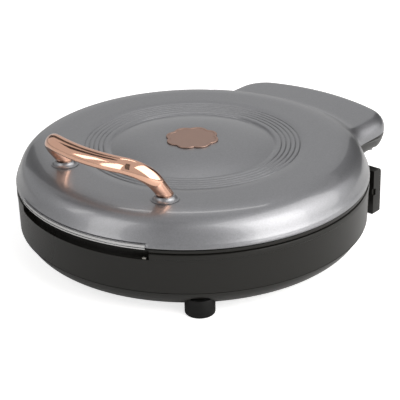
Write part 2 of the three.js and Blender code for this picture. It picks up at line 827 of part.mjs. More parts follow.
function hingeBracket() {
  const cheek = new THREE.Shape();
  cheek.moveTo(hingeY - hingeCheekRadius, hingeRoofZ);
  cheek.absarc(hingeY, hingeAxisZ, hingeCheekRadius, Math.PI, Math.PI * 2, false);
  cheek.lineTo(hingeY + hingeCheekRadius, hingeRoofZ);
  cheek.closePath();
  const outerX = hingeCheekOffset + hingeCheekWidth;
  const solids = sides.map(({ sign }) => {
    const [near, far] = [sign * hingeCheekOffset, sign * outerX];
    return toSolid(extrudedAcross(cheek, Math.min(near, far), Math.max(near, far)));
  });
  const roof = block(
    outerX * 2, hingeCheekRadius * 2, hingeBracketTopThickness,
    [0, hingeY, hingeRoofZ - hingeBracketTopThickness / 2]);
  const bore = turnedDisc(hingePinRadius + hingePinClearance, -outerX - cutOverrun, outerX + cutOverrun)
    .rotateY(Math.PI / 2).translate(0, hingeY, hingeAxisZ);
  return joined([...solids, toSolid(roof)]).subtract(toSolid(bore));
}

function hingePin() {
  const halfLength = hingeCheekOffset + hingeCheekWidth + hingePinClearance;
  return turnedDisc(hingePinRadius, -halfLength, halfLength).rotateY(Math.PI / 2);
}

// Yoke: a curved bar inside the drum that slides on two rods and carries the hinge arms
const hingeZ = rimZ - hingeDrop;
const guideOrbit = (yokeBarInnerRadius + yokeBarOuterRadius) / 2;

function guidePlaces() {
  return sides.map(({ name, sign }) => ({
    name, x: sign * guideOrbit * Math.sin(guideAngle), y: guideOrbit * Math.cos(guideAngle),
  }));
}

function hingeYoke() {
  const arm = new THREE.Shape();
  const armTopZ = armRootZ + armRootHeight;
  arm.moveTo(armRootY, armRootZ);
  arm.lineTo(armKneeY, armRootZ);
  arm.absarc(hingeY, hingeZ, hingeEyeRadius, -Math.PI / 3, Math.PI * 5 / 6, false);
  arm.lineTo(armKneeY, armTopZ);
  arm.lineTo(armRootY, armTopZ);
  arm.closePath();
  const barShape = sectorShape(yokeBarInnerRadius, yokeBarOuterRadius, yokeBarHalfAngle, Math.PI / 2);
  let yoke = toSolid(extrudedUp(barShape, armRootZ, armRootZ + yokeBarHeight, cornerSteps));
  for (const { sign } of sides) {
    const lowX = sign * hingeArmX - hingeArmWidth / 2;
    yoke = yoke.add(toSolid(extrudedAcross(arm, lowX, lowX + hingeArmWidth)));
  }
  const bore = turnedDisc(hingePinRadius + hingePinClearance, -lidRadius, lidRadius)
    .rotateY(Math.PI / 2).translate(0, hingeY, hingeZ);
  yoke = yoke.subtract(toSolid(bore));
  for (const { x, y } of guidePlaces()) {
    yoke = yoke.subtract(post(guideRadius + guideClearance, 0, rimZ, x, y));
  }
  return yoke;
}

// Base drum, heights measured from the table
const baseTopZ = rimZ - baseTopDrop;
const baseLedgeZ = baseTopZ - baseLedgeHeight;
const lipZ = footHeight + bottomCoverThickness + fitGap;
const lipTopZ = lipZ + baseLipThickness;
const bottomCoverRadius = baseFootRadius - baseEdgeRadius - baseWall / 2;

function drumSection() {
  const edge = new THREE.Path();
  edge.absarc(baseFootRadius - baseEdgeRadius, footHeight + baseEdgeRadius, baseEdgeRadius, -Math.PI / 2, 0, false);
  const rounded = edge.getPoints(baseEdgeSteps).map((point) => [point.x, point.y]);
  const coverEdge = bottomCoverRadius + bottomCoverClearance;
  const creaseZ = footHeight + baseCreaseHeight;
  return [
    [coverEdge, footHeight], ...rounded, [baseCreaseRadius, creaseZ], [baseTopRadius, baseTopZ],
    [baseLedgeRadius, baseTopZ], [baseLedgeRadius, baseLedgeZ], [baseTopRadius - baseWall, baseLedgeZ],
    [baseCreaseRadius - baseWall, lipTopZ], [baseLipRadius, lipTopZ], [baseLipRadius, lipZ],
    [coverEdge, lipZ], [coverEdge, footHeight],
  ];
}

function footPlaces() {
  return Array.from({ length: footCount }, (_, i) => {
    const angle = Math.PI / 4 + 2 * Math.PI * i / footCount;
    return { x: footOrbit * Math.cos(angle), y: footOrbit * Math.sin(angle) };
  });
}

// Rear stand: a housing across the back of the drum with a leg and a clip recess at each end
function rearStand() {
  const frontY = standRearY - standThickness;
  const plan = new THREE.Shape();
  const cornerX = standHalfWidth - standCornerRadius;
  const cornerY = standRearY - standCornerRadius;
  plan.moveTo(-standHalfWidth, frontY);
  plan.lineTo(standHalfWidth, frontY);
  plan.absarc(cornerX, cornerY, standCornerRadius, 0, Math.PI / 2, false);
  plan.absarc(-cornerX, cornerY, standCornerRadius, Math.PI / 2, Math.PI, false);
  plan.closePath();
  const openWidth = 2 * (standHalfWidth - standLegWidth);
  const openHeight = footHeight + cutOverrun;
  const profile = new THREE.Shape();
  profile.moveTo(frontY, 0);
  profile.lineTo(standRearY, 0);
  profile.absarc(standRearY - standTopRadius, standHeight - standTopRadius, standTopRadius, 0, Math.PI / 2, false);
  profile.lineTo(frontY, standHeight);
  profile.closePath();
  let stand = toSolid(extrudedUp(plan, 0, standHeight, cornerSteps))
    .intersect(toSolid(extrudedAcross(profile, -standHalfWidth, standHalfWidth, cornerSteps)));
  stand = stand.subtract(toSolid(block(
    openWidth, standRearY, openHeight, [0, standRearY, footHeight - openHeight / 2])));
  for (const { sign } of sides) {
    const clip = block(
      standClipDepth * 2, standClipWidth * 2, standClipHeight,
      [sign * standHalfWidth, frontY, standClipZ + standClipHeight / 2]);
    stand = stand.subtract(toSolid(clip));
  }
  return stand;
}

// Places a shape drawn facing +X, at the radius it is drawn at, on a bearing round the drum.
function turnedTo(geometry, bearing) {
  return geometry.rotateZ(bearing);
}

function inletBlock(depthFrom, depthTo, width, height) {
  return block(depthTo - depthFrom, width, height, [(depthFrom + depthTo) / 2, 0, inletCentreZ]);
}

function baseShell() {
  const insideRadius = baseCreaseRadius - baseWall;
  const inside = toSolid(turnedDisc(insideRadius, 0, baseTopZ, roundSteps));
  const padWidth = inletWidth + 2 * inletFlange;
  const padHeight = inletHeight + 2 * inletFlange;
  const pad = toSolid(turnedTo(inletBlock(insideRadius - baseWall, inletFaceRadius, padWidth, padHeight), inletAngle));
  let shell = toSolid(turned(drumSection())).add(rearStand().subtract(inside)).add(pad.subtract(inside));
  for (const { x, y } of footPlaces()) {
    shell = shell.add(post(footPostRadius, lipZ, lipZ + footPostHeight, x, y));
    shell = shell.subtract(post(footScrewRadius + footScrewClearance, 0, lipZ + footPostHeight - baseWall, x, y));
  }
  for (const { x, y } of guidePlaces()) {
    shell = shell.add(post(guideBossRadius, lipZ, lipTopZ + guideBossHeight, x, y));
    shell = shell.subtract(post(guideRadius + guideClearance, lipTopZ, baseLedgeZ, x, y));
  }
  const windowLowZ = armRootZ - hingeWindowClearance;
  const windowHighZ = armRootZ + armRootHeight + hingeFloat + hingeWindowClearance;
  for (const { sign } of sides) {
    const window = block(
      hingeArmWidth + 2 * hingeWindowClearance, standRearY - armRootY + cutOverrun, windowHighZ - windowLowZ,
      [sign * hingeArmX, (armRootY + standRearY) / 2 + cutOverrun, (windowLowZ + windowHighZ) / 2]);
    shell = shell.subtract(toSolid(window));
  }
  const inletHole = inletBlock(insideRadius - inletDepth, inletFaceRadius + cutOverrun,
    inletWidth + 2 * fitGap, inletHeight + 2 * fitGap);
  const notch = sectorShape(baseTopRadius - notchDepth, baseTopRadius + cutOverrun, frontHalfAngle);
  return shell.subtract(toSolid(turnedTo(inletHole, inletAngle)))
    .subtract(toSolid(extrudedUp(notch, baseTopZ - notchDrop, baseTopZ + cutOverrun, cornerSteps)));
}

function baseRing() {
  const [lowZ, highZ] = [baseTopZ + baseRingGap, rimZ - baseRingTopDrop];
  const ring = toSolid(turnedRing(baseRingInnerRadius, baseRingRadius, lowZ, highZ));
  const opening = sectorShape(baseRingInnerRadius / 2, baseRingRadius + cutOverrun, frontHalfAngle);
  return ring.subtract(toSolid(extrudedUp(opening, lowZ - cutOverrun, highZ + cutOverrun, cornerSteps)));
}

function indicatorLens() {
  const radius = baseTopRadius - notchDepth + lensDepth / 2 + fitGap;
  const bearing = -Math.PI / 2 + frontHalfAngle - (lensEndMargin + lensWidth / 2) / radius;
  const lowZ = baseTopZ - notchDrop + fitGap;
  return turnedTo(block(lensDepth, lensWidth, lensHeight, [radius, 0, lowZ + lensHeight / 2]), bearing);
}

function bottomCover() {
  let cover = toSolid(turnedDisc(bottomCoverRadius, footHeight, footHeight + bottomCoverThickness, roundSteps));
  const [lowZ, highZ] = [footHeight - cutOverrun, footHeight + bottomCoverThickness + cutOverrun];
  for (let i = 0; i < ventCount; i += 1) {
    const slot = block(ventLength, ventWidth, highZ - lowZ, [ventOrbit, 0, (lowZ + highZ) / 2]);
    cover = cover.subtract(toSolid(turnedTo(slot, 2 * Math.PI * i / ventCount)));
  }
  for (const { x, y } of footPlaces()) {
    cover = cover.subtract(post(footScrewRadius + footScrewClearance, lowZ, highZ, x, y));
  }
  return cover;
}

function foot() {
  const bore = footScrewRadius + footScrewClearance;
  const recess = footScrewHeadRadius + footScrewClearance;
  const topZ = footHeight - fitGap;
  return turned([
    [recess, 0], [footBottomRadius - footEdge, 0], [footBottomRadius, footEdge], [footTopRadius, topZ],
    [bore, topZ], [bore, footScrewHeadDepth], [recess, footScrewHeadDepth], [recess, 0],
  ], smallSteps + cornerSteps);
}

// Power inlet: a flanged socket let into the drum, with three pins through its back wall
const inletBackRadius = inletFaceRadius - inletDepth;

function inletPinPlaces() {
  const rise = inletCentreZ + inletPinRise;
  return [
    { name: 'live', y: -inletPinPitch, z: inletCentreZ - inletPinRise },
    { name: 'earth', y: 0, z: rise },
    { name: 'neutral', y: inletPinPitch, z: inletCentreZ - inletPinRise },
  ];
}

function powerInlet() {
  const flangeBack = inletFaceRadius + fitGap;
  const flangeFront = flangeBack + inletFlangeThickness;
  const body = inletBlock(inletBackRadius, flangeFront, inletWidth, inletHeight);
  const flange = inletBlock(flangeBack, flangeFront, inletWidth + 2 * inletFlange, inletHeight + 2 * inletFlange);
  const cavity = inletBlock(
    inletBackRadius + inletWall, flangeFront + cutOverrun, inletWidth - 2 * inletWall, inletHeight - 2 * inletWall);
  let inlet = toSolid(body).add(toSolid(flange)).subtract(toSolid(cavity));
  for (const { y, z } of inletPinPlaces()) {
    const slot = block(
      inletWall + 2 * cutOverrun, inletPinThickness + fitGap, inletPinWidth + fitGap,
      [inletBackRadius + inletWall / 2, y, z]);
    inlet = inlet.subtract(toSolid(slot));
  }
  return toGeometry(inlet).rotateZ(inletAngle);
}

function inletPin({ y, z }) {
  const startRadius = inletBackRadius - inletPinTail;
  const length = inletPinTail + inletWall + inletPinLength;
  const blade = block(length, inletPinThickness, inletPinWidth, [startRadius + length / 2, y, z]);
  return turnedTo(blade, inletAngle);
}

function terminalBlock() {
  const body = block(terminalWidth, terminalLength, terminalHeight, [0, 0, terminalHeight / 2]);
  let terminals = toSolid(body);
  for (let i = 0; i < terminalCount; i += 1) {
    const y = terminalLength * ((i + 0.5) / terminalCount - 0.5);
    terminals = terminals.subtract(post(terminalBoreRadius, terminalHeight / 2, terminalHeight + cutOverrun, 0, y));
  }
  return terminals;
}

// Assembly
function placed(mesh, x, y, z) {
  mesh.position.set(x, y, z);
  return mesh;
}

// The lid's group has its origin at the middle of the lid's lower rim.
function lidAssembly() {
  const lid = new THREE.Group();
  lid.position.z = rimZ;
  lid.add(piece('lid_shell', lidShell(), finishes.greyPaint));
  lid.add(piece('lid_medallion', medallion(), finishes.bronze));
  lid.add(piece('handle_bar', handleBar(), finishes.roseGold));
  lid.add(piece('lid_trim_strip', trimStrip(), finishes.chrome));
  lid.add(piece('upper_plate_ring', upperBezel(), finishes.blackPlastic));
  lid.add(piece('wing_cover', wingCover(), finishes.blackPlastic));
  const handleHeadZ = crownHeight - lidWall - fitGap - handleScrewHeadHeight;
  const handleShank = handleFootZ + handleScrewReach - handleHeadZ - handleScrewHeadHeight;
  for (const { name, sign } of sides) {
    const seat = piece(`handle_seat_${name}`, handleSeat(), finishes.greyPaint);
    lid.add(placed(seat, sign * handleFootX, -handleFootY, handleSeatZ));
    const shape = screw(handleScrewRadius, handleScrewHeadRadius, handleScrewHeadHeight, handleShank);
    const handleScrew = piece(`handle_screw_${name}`, shape, finishes.steel);
    lid.add(placed(handleScrew, sign * handleFootX, -handleFootY, handleHeadZ));
    const bracket = piece(`lid_hinge_bracket_${name}`, hingeBracket(), finishes.steel);
    lid.add(placed(bracket, sign * hingeArmX, 0, 0));
  }
  for (const { name, x, y } of coverScrewPlaces()) {
    const headZ = -wingDrop - coverDrop - coverScrewHeadHeight;
    const shape = screw(coverScrewRadius, coverScrewHeadRadius, coverScrewHeadHeight, coverScrewLength);
    lid.add(placed(piece(`wing_cover_screw_${name}`, shape, finishes.steel), x, y, headZ));
  }
  lid.add(upperHeater());
  return lid;
}

// Plate, element, reflector and controls, drawn as they lie in the base, with the flange's top at Z = 0
function heater(prefix, depth, reflectorDrop) {
  const group = new THREE.Group();
  const backZ = -depth - plateThickness;
  const dishZ = backZ - reflectorDrop - fitGap - reflectorThickness;
  group.add(piece(`${prefix}_plate`, cookingPlate(depth, reflectorDrop), finishes.nonStick));
  const element = piece(`${prefix}_heating_element`, heatingElement(), finishes.steel);
  group.add(placed(element, 0, 0, backZ - fitGap - elementRadius));
  group.add(placed(piece(`${prefix}_reflector`, reflector(), finishes.aluminium), 0, 0, dishZ));
  plateBossPlaces().forEach(({ x, y }, i) => {
    const shape = screw(
      reflectorScrewRadius, reflectorScrewHeadRadius, reflectorScrewHeadHeight, reflectorScrewLength);
    const reflectorScrew = piece(`${prefix}_reflector_screw_${i + 1}`, shape, finishes.steel);
    group.add(placed(reflectorScrew, x, y, dishZ - fitGap - reflectorScrewHeadHeight));
  });
  const control = piece(`${prefix}_thermostat`, thermostat(), finishes.ceramic);
  control.rotation.x = Math.PI;
  group.add(placed(control, 0, 0, backZ - fitGap));
  const fuse = piece(`${prefix}_thermal_fuse`, thermalFuse(), finishes.ceramic);
  fuse.rotation.x = Math.PI;
  group.add(placed(fuse, 0, -fuseOrbit, backZ - fitGap));
  return group;
}

function upperHeater() {
  const group = heater('upper', upperPlateDepth, upperReflectorRise);
  group.rotation.x = Math.PI;
  group.position.z = plateClosingGap - plateSeatBelowRim;
  return group;
}

function lowerHeater() {
  const group = heater('lower', lowerPlateDepth, lowerReflectorDrop);
  group.position.z = rimZ - plateSeatBelowRim;
  return group;
}

function baseAssembly() {
  const base = new THREE.Group();
  base.add(piece('base_shell', baseShell(), finishes.blackPlastic));
  base.add(piece('base_ring', baseRing(), finishes.blackPlastic));
  base.add(piece('indicator_lens', indicatorLens(), finishes.lens));
  base.add(piece('bottom_cover', bottomCover(), finishes.steel));
  base.add(piece('power_inlet', powerInlet(), finishes.blackPlastic));
  for (const place of inletPinPlaces()) {
    base.add(piece(`inlet_pin_${place.name}`, inletPin(place), finishes.brass));
  }
  const terminals = piece('terminal_block', terminalBlock(), finishes.ceramic);
  terminals.rotation.z = terminalBearing;
  const terminalX = terminalOrbit * Math.cos(terminalBearing);
  const terminalY = terminalOrbit * Math.sin(terminalBearing);
  base.add(placed(terminals, terminalX, terminalY, lipTopZ + fitGap));
  footPlaces().forEach(({ x, y }, i) => {
    base.add(placed(piece(`foot_${i + 1}`, foot(), finishes.blackRubber), x, y, 0));
    const shape = screw(footScrewRadius, footScrewHeadRadius, footScrewHeadHeight, footScrewLength);
    const headZ = footScrewHeadDepth - fitGap - footScrewHeadHeight;
    base.add(placed(piece(`foot_screw_${i + 1}`, shape, finishes.steel), x, y, headZ));
  });
  const guideLength = baseLedgeZ - lipTopZ - 2 * fitGap;
  for (const { name, x, y } of guidePlaces()) {
    const rod = piece(`yoke_guide_${name}`, turnedDisc(guideRadius, 0, guideLength), finishes.steel);
    base.add(placed(rod, x, y, lipTopZ + fitGap));
  }
  base.add(lowerHeater());
  return base;
}

function yokeAssembly() {
  const group = new THREE.Group();
  group.add(piece('hinge_yoke', hingeYoke(), finishes.steel));
  for (const { name, sign } of sides) {
    const pin = piece(`hinge_pin_${name}`, hingePin(), finishes.steel);
    group.add(placed(pin, sign * hingeArmX, hingeY, hingeZ));
  }
  return group;
}

const griddle = new THREE.Group();
griddle.add(baseAssembly(), yokeAssembly(), lidAssembly());
griddle.position.y = (lidRadius - wingRearY) / 2;

export default griddle;
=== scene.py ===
"""Double-sided griddle: the visible surfaces, finishes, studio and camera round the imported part."""

import json
import math

import bmesh
import bpy
import numpy as np
from bpy.props import FloatProperty, FloatVectorProperty, IntProperty, PointerProperty
from mathutils import Matrix, Quaternion, Vector


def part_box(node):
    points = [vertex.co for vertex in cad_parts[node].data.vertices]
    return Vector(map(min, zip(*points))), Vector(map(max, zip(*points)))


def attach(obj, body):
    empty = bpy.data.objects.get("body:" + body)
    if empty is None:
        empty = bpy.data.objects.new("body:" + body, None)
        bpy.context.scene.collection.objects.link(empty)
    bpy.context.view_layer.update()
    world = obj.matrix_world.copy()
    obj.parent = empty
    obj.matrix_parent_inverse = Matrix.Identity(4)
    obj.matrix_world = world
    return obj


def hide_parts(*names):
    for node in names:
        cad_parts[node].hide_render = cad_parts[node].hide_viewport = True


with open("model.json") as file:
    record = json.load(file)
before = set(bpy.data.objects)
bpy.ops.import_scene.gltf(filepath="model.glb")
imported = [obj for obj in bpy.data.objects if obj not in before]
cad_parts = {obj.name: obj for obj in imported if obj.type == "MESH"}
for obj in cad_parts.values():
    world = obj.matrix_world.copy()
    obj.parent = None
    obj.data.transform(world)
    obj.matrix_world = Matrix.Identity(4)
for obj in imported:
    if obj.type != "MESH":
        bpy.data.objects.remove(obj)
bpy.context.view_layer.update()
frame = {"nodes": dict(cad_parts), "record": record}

bl_info = {
    "name": "Double-sided griddle",
    "version": (1, 0, 0),
    "blender": (4, 5, 0),
    "location": "View3D > Sidebar > Griddle",
    "description": "Makes the surfaces, finishes and studio of a double-sided griddle",
    "category": "Object",
}

# Places that come from the frame
MM = 0.001
LID_LOW, LID_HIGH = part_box("lid_shell")
BASE_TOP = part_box("base_shell")[1].z
RING_LOW, RING_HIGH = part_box("base_ring")
LID_RADIUS = LID_HIGH.x
AXIS_Y = LID_LOW.y + LID_RADIUS
RING_GAP = 1 * MM
RIM_Z = RING_HIGH.z + RING_GAP
FOOT_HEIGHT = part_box("bottom_cover")[0].z
SLOT_OF_NODE = {part["node"]: part["material_slot"] for part in frame["record"]["subparts"]}
BODY_OF_NODE = {
    node: body for body, nodes in frame["record"]["behaviour"]["bodies"].items() for node in nodes
}

# Angles, steps and tolerances that many pieces share
FULL_TURN = 2 * math.pi
QUARTER = math.pi / 2
FRONT = -math.pi / 2
REAR = math.pi / 2
ROUND_STEPS = 320
SMALL_STEPS = 48
SHARP_ANGLE = math.radians(32)
FLAT_ANGLE = math.radians(1)
WELD = 1e-6
CAD_WELD = 1e-5

# How far in the middle point of a small rounded corner lies, as a share of the corner's width
CORNER_SHARE = 0.3


# Sizes and colours that a user may change

class LidSizes(bpy.types.PropertyGroup):
    """Sizes of the domed lid and its wing"""
    crown_height: FloatProperty(
        name="Crown height", description="Height of the flat crown above the rim",
        default=26 * MM, unit="LENGTH")
    crown_radius: FloatProperty(
        name="Crown radius", description="Where the flat crown turns into the shoulder",
        default=129 * MM, unit="LENGTH")
    groove_count: IntProperty(
        name="Pressed rings", description="Number of rings pressed round the disc", default=5)
    groove_pitch: FloatProperty(
        name="Ring pitch", description="Distance from ring to ring", default=4.2 * MM, unit="LENGTH")
    groove_depth: FloatProperty(
        name="Ring depth", description="Depth of each pressed ring", default=0.6 * MM, unit="LENGTH")
    disc_radius: FloatProperty(
        name="Disc radius", description="Radius of the raised disc", default=73 * MM, unit="LENGTH")
    disc_rise: FloatProperty(
        name="Disc rise", description="Rise of the disc from its edge to its middle",
        default=6.2 * MM, unit="LENGTH")
    wing_blend: FloatProperty(
        name="Wing blend", description="Width of the hollow curve between dome and wing",
        default=13 * MM, unit="LENGTH")


class HandleSizes(bpy.types.PropertyGroup):
    """Sizes of the handle bar"""
    bar_width: FloatProperty(
        name="Bar width", description="Width of the bar's broad face", default=15 * MM, unit="LENGTH")
    bar_thickness: FloatProperty(
        name="Bar thickness", description="Thickness of the bar", default=10.5 * MM, unit="LENGTH")
    leg_width: FloatProperty(
        name="Leg width", description="Diameter of the legs", default=13 * MM, unit="LENGTH")
    rise: FloatProperty(
        name="Rise", description="Height of the bar above its feet", default=29.8 * MM, unit="LENGTH")
    lean: FloatProperty(
        name="Lean", description="How far the bar leans forward", default=22 * MM, unit="LENGTH")
    bow: FloatProperty(
        name="Bow", description="How far the middle of the bar bows forward",
        default=10 * MM, unit="LENGTH")


def colour(name, description, value):
    return FloatVectorProperty(
        name=name, description=description, subtype="COLOR", size=3, min=0, max=1, default=value)


class FinishColours(bpy.types.PropertyGroup):
    """Colours of the finishes"""
    lid_paint: colour("Lid paint", "Metallic grey of the lid", (0.245, 0.247, 0.26))
    black_plastic: colour("Black plastic", "Moulded plastic of the base", (0.0115, 0.011, 0.0095))
    rose_gold: colour("Rose gold", "Plating of the handle", (0.87, 0.52, 0.38))
    bronze: colour("Bronze", "Metal of the medallion", (0.36, 0.235, 0.19))
    bright_trim: colour("Bright trim", "Plating of the strip", (0.58, 0.58, 0.585))
    non_stick: colour("Non-stick coat", "Coating of the cooking plates", (0.018, 0.018, 0.019))
    steel: colour("Steel", "Zinc plated steel", (0.42, 0.42, 0.43))
    rubber: colour("Rubber", "Rubber of the feet", (0.005, 0.005, 0.005))


# Node groups that several finishes share

def new_group(name, inputs, outputs):
    group = bpy.data.node_groups.new(name, "ShaderNodeTree")
    for socket_name, kind, value in inputs:
        socket = group.interface.new_socket(name=socket_name, in_out="INPUT", socket_type=kind)
        socket.default_value = value
    for socket_name, kind in outputs:
        group.interface.new_socket(name=socket_name, in_out="OUTPUT", socket_type=kind)
    return group, group.nodes.new("NodeGroupInput"), group.nodes.new("NodeGroupOutput")


def grain_group():
    """Fine surface grain: a mask and a bumped normal."""
    found = bpy.data.node_groups.get("fine_grain")
    if found:
        return found
    group, given, result = new_group(
        "fine_grain",
        [("Scale", "NodeSocketFloat", 900.0), ("Strength", "NodeSocketFloat", 0.1),
         ("Distance", "NodeSocketFloat", 0.0001)],
        [("Mask", "NodeSocketFloat"), ("Normal", "NodeSocketVector")])
    place = group.nodes.new("ShaderNodeTexCoord")
    noise = group.nodes.new("ShaderNodeTexNoise")
    noise.inputs["Detail"].default_value = 3.0
    bump = group.nodes.new("ShaderNodeBump")
    link = group.links.new
    link(place.outputs["Object"], noise.inputs["Vector"])
    link(given.outputs["Scale"], noise.inputs["Scale"])
    link(noise.outputs["Fac"], bump.inputs["Height"])
    link(given.outputs["Strength"], bump.inputs["Strength"])
    link(given.outputs["Distance"], bump.inputs["Distance"])
    link(noise.outputs["Fac"], result.inputs["Mask"])
    link(bump.outputs["Normal"], result.inputs["Normal"])
    return group


def tone_group():
    """Slow variation over a surface: a colour between two tones and a roughness between two values."""
    found = bpy.data.node_groups.get("slow_tone")
    if found:
        return found
    group, given, result = new_group(
        "slow_tone",
        [("Scale", "NodeSocketFloat", 12.0), ("Tone A", "NodeSocketColor", (1, 1, 1, 1)),
         ("Tone B", "NodeSocketColor", (1, 1, 1, 1)), ("Rough A", "NodeSocketFloat", 0.3),
         ("Rough B", "NodeSocketFloat", 0.4)],
        [("Colour", "NodeSocketColor"), ("Roughness", "NodeSocketFloat")])
    place = group.nodes.new("ShaderNodeTexCoord")
    noise = group.nodes.new("ShaderNodeTexNoise")
    noise.inputs["Detail"].default_value = 4.0
    blend = group.nodes.new("ShaderNodeMix")
    blend.data_type = "RGBA"
    rough = group.nodes.new("ShaderNodeMapRange")
    link = group.links.new
    link(place.outputs["Object"], noise.inputs["Vector"])
    link(given.outputs["Scale"], noise.inputs["Scale"])
    link(noise.outputs["Fac"], blend.inputs["Factor"])
    link(given.outputs["Tone A"], blend.inputs["A"])
    link(given.outputs["Tone B"], blend.inputs["B"])
    link(noise.outputs["Fac"], rough.inputs["Value"])
    link(given.outputs["Rough A"], rough.inputs["To Min"])
    link(given.outputs["Rough B"], rough.inputs["To Max"])
    link(blend.outputs["Result"], result.inputs["Colour"])
    link(rough.outputs["Result"], result.inputs["Roughness"])
    return group


# Finishes, one for each material slot of the record

def shaded(tone, share):
    return tuple(channel * share for channel in tone) + (1.0,)


def make_finish(
        slot, tone, rough, tone_scale=12.0, tone_spread=0.08, grain=(900.0, 0.1, 0.0001), **constants):
    """A finish whose colour and roughness vary slowly. Its grain is a scale, a strength and a height."""
    material = bpy.data.materials.new(f"{slot}_finish")
    material.use_nodes = True
    nodes, link = material.node_tree.nodes, material.node_tree.links.new
    shader = nodes["Principled BSDF"]
    for socket, value in constants.items():
        shader.inputs[socket.replace("_", " ")].default_value = value
    slow = nodes.new("ShaderNodeGroup")
    slow.node_tree = tone_group()
    slow.inputs["Scale"].default_value = tone_scale
    slow.inputs["Tone A"].default_value = shaded(tone, 1 - tone_spread)
    slow.inputs["Tone B"].default_value = shaded(tone, 1 + tone_spread)
    slow.inputs["Rough A"].default_value = rough[0]
    slow.inputs["Rough B"].default_value = rough[1]
    fine = nodes.new("ShaderNodeGroup")
    fine.node_tree = grain_group()
    for socket, value in zip(("Scale", "Strength", "Distance"), grain):
        fine.inputs[socket].default_value = value
    link(slow.outputs["Colour"], shader.inputs["Base Color"])
    link(slow.outputs["Roughness"], shader.inputs["Roughness"])
    link(fine.outputs["Normal"], shader.inputs["Normal"])
    return material


def make_lid_paint(tone):
    """Metallic paint under a clear coat, with flakes that vary its tone from point to point."""
    material = make_finish(
        "lid_paint", tone, rough=(0.38, 0.44), tone_scale=6.0, tone_spread=0.03,
        grain=(2500.0, 0.05, 0.00002), Metallic=0.9, Coat_Weight=0.7, Coat_Roughness=0.08, Coat_IOR=1.5)
    flakes_per_metre = 1100.0
    darkest_flake, lightest_flake = 0.93, 1.07
    nodes, link = material.node_tree.nodes, material.node_tree.links.new
    shader = nodes["Principled BSDF"]
    place = nodes.new("ShaderNodeTexCoord")
    flakes = nodes.new("ShaderNodeTexVoronoi")
    flakes.inputs["Scale"].default_value = flakes_per_metre
    spread = nodes.new("ShaderNodeMapRange")
    spread.inputs["To Min"].default_value = darkest_flake
    spread.inputs["To Max"].default_value = lightest_flake
    flecked = nodes.new("ShaderNodeVectorMath")
    flecked.operation = "SCALE"
    link(place.outputs["Object"], flakes.inputs["Vector"])
    link(flakes.outputs["Color"], spread.inputs["Value"])
    link(shader.inputs["Base Color"].links[0].from_socket, flecked.inputs["Vector"])
    link(spread.outputs["Result"], flecked.inputs["Scale"])
    link(flecked.outputs["Vector"], shader.inputs["Base Color"])


def make_black_plastic(tone):
    """Moulded plastic with a low gloss and a fine grain."""
    make_finish(
        "black_plastic", tone, rough=(0.24, 0.32), tone_scale=9.0, grain=(1800.0, 0.12, 0.00004),
        Specular_IOR_Level=0.32)


def make_rubber(tone):
    """Matt rubber."""
    make_finish(
        "rubber_feet", tone, rough=(0.5, 0.66), grain=(1500.0, 0.3, 0.00008), Specular_IOR_Level=0.2)


def make_rose_gold(tone):
    """Polished plating with hardly any grain."""
    make_finish(
        "rose_gold", tone, rough=(0.07, 0.1), tone_scale=20.0, tone_spread=0.02, grain=(400.0, 0.01, 0.00002),
        Metallic=1.0)


def make_bronze(tone):
    """Satin metal with a fine grain."""
    make_finish(
        "medallion_bronze", tone, rough=(0.38, 0.46), tone_scale=60.0, tone_spread=0.07,
        grain=(2200.0, 0.2, 0.00004), Metallic=0.75)


def make_bright_trim(tone):
    """Bright plating."""
    make_finish(
        "bright_trim", tone, rough=(0.1, 0.15), tone_spread=0.03, grain=(700.0, 0.02, 0.00002), Metallic=1.0)


def make_non_stick(tone):
    """The pebbled coat of a cast cooking plate."""
    make_finish(
        "non_stick", tone, rough=(0.34, 0.46), tone_scale=25.0, tone_spread=0.15,
        grain=(1300.0, 0.35, 0.00008), Coat_Weight=0.15, Coat_Roughness=0.25)


def make_steel(tone):
    """Zinc plated steel."""
    make_finish(
        "steel", tone, rough=(0.3, 0.42), tone_scale=40.0, tone_spread=0.1, grain=(900.0, 0.1, 0.00004),
        Metallic=1.0)


def make_reflector_sheet():
    """Bright aluminium sheet."""
    make_finish(
        "reflector_sheet", (0.62, 0.62, 0.64), rough=(0.2, 0.3), grain=(300.0, 0.05, 0.00005), Metallic=1.0)


def make_element_sheath():
    """Metal that heat has darkened in patches."""
    make_finish(
        "element_sheath", (0.12, 0.115, 0.1), rough=(0.4, 0.6), tone_scale=50.0, tone_spread=0.25,
        Metallic=0.9)


def make_ceramic():
    """White ceramic without a glaze."""
    make_finish("ceramic", (0.74, 0.71, 0.62), rough=(0.5, 0.62), grain=(1100.0, 0.2, 0.00008))


def make_brass():
    """Plain brass."""
    make_finish("brass_pins", (0.52, 0.35, 0.12), rough=(0.2, 0.3), Metallic=1.0)


def make_lens_plastic():
    """Clear lens over a dark lamp, made as one glossy surface."""
    make_finish(
        "lamp_lens", (0.3, 0.29, 0.27), rough=(0.08, 0.12), grain=(500.0, 0.02, 0.00002), Coat_Weight=0.6)


class GRIDDLE_OT_finishes(bpy.types.Operator):
    """Make one finish for each material slot"""
    bl_idname = "griddle.finishes"
    bl_label = "Finishes"

    def execute(self, context):
        colours = context.scene.griddle_colours
        make_lid_paint(colours.lid_paint)
        make_black_plastic(colours.black_plastic)
        make_rubber(colours.rubber)
        make_rose_gold(colours.rose_gold)
        make_bronze(colours.bronze)
        make_bright_trim(colours.bright_trim)
        make_non_stick(colours.non_stick)
        make_steel(colours.steel)
        make_reflector_sheet()
        make_element_sheath()
        make_ceramic()
        make_brass()
        make_lens_plastic()
        return {"FINISHED"}


def finish_of(slot):
    return bpy.data.materials[f"{slot}_finish"]


# Making pieces

def shade_smooth(bm, sharp_angle=SHARP_ANGLE):
    for face in bm.faces:
        face.smooth = True
    for edge in bm.edges:
        edge.smooth = edge.calc_face_angle(0.0) < sharp_angle


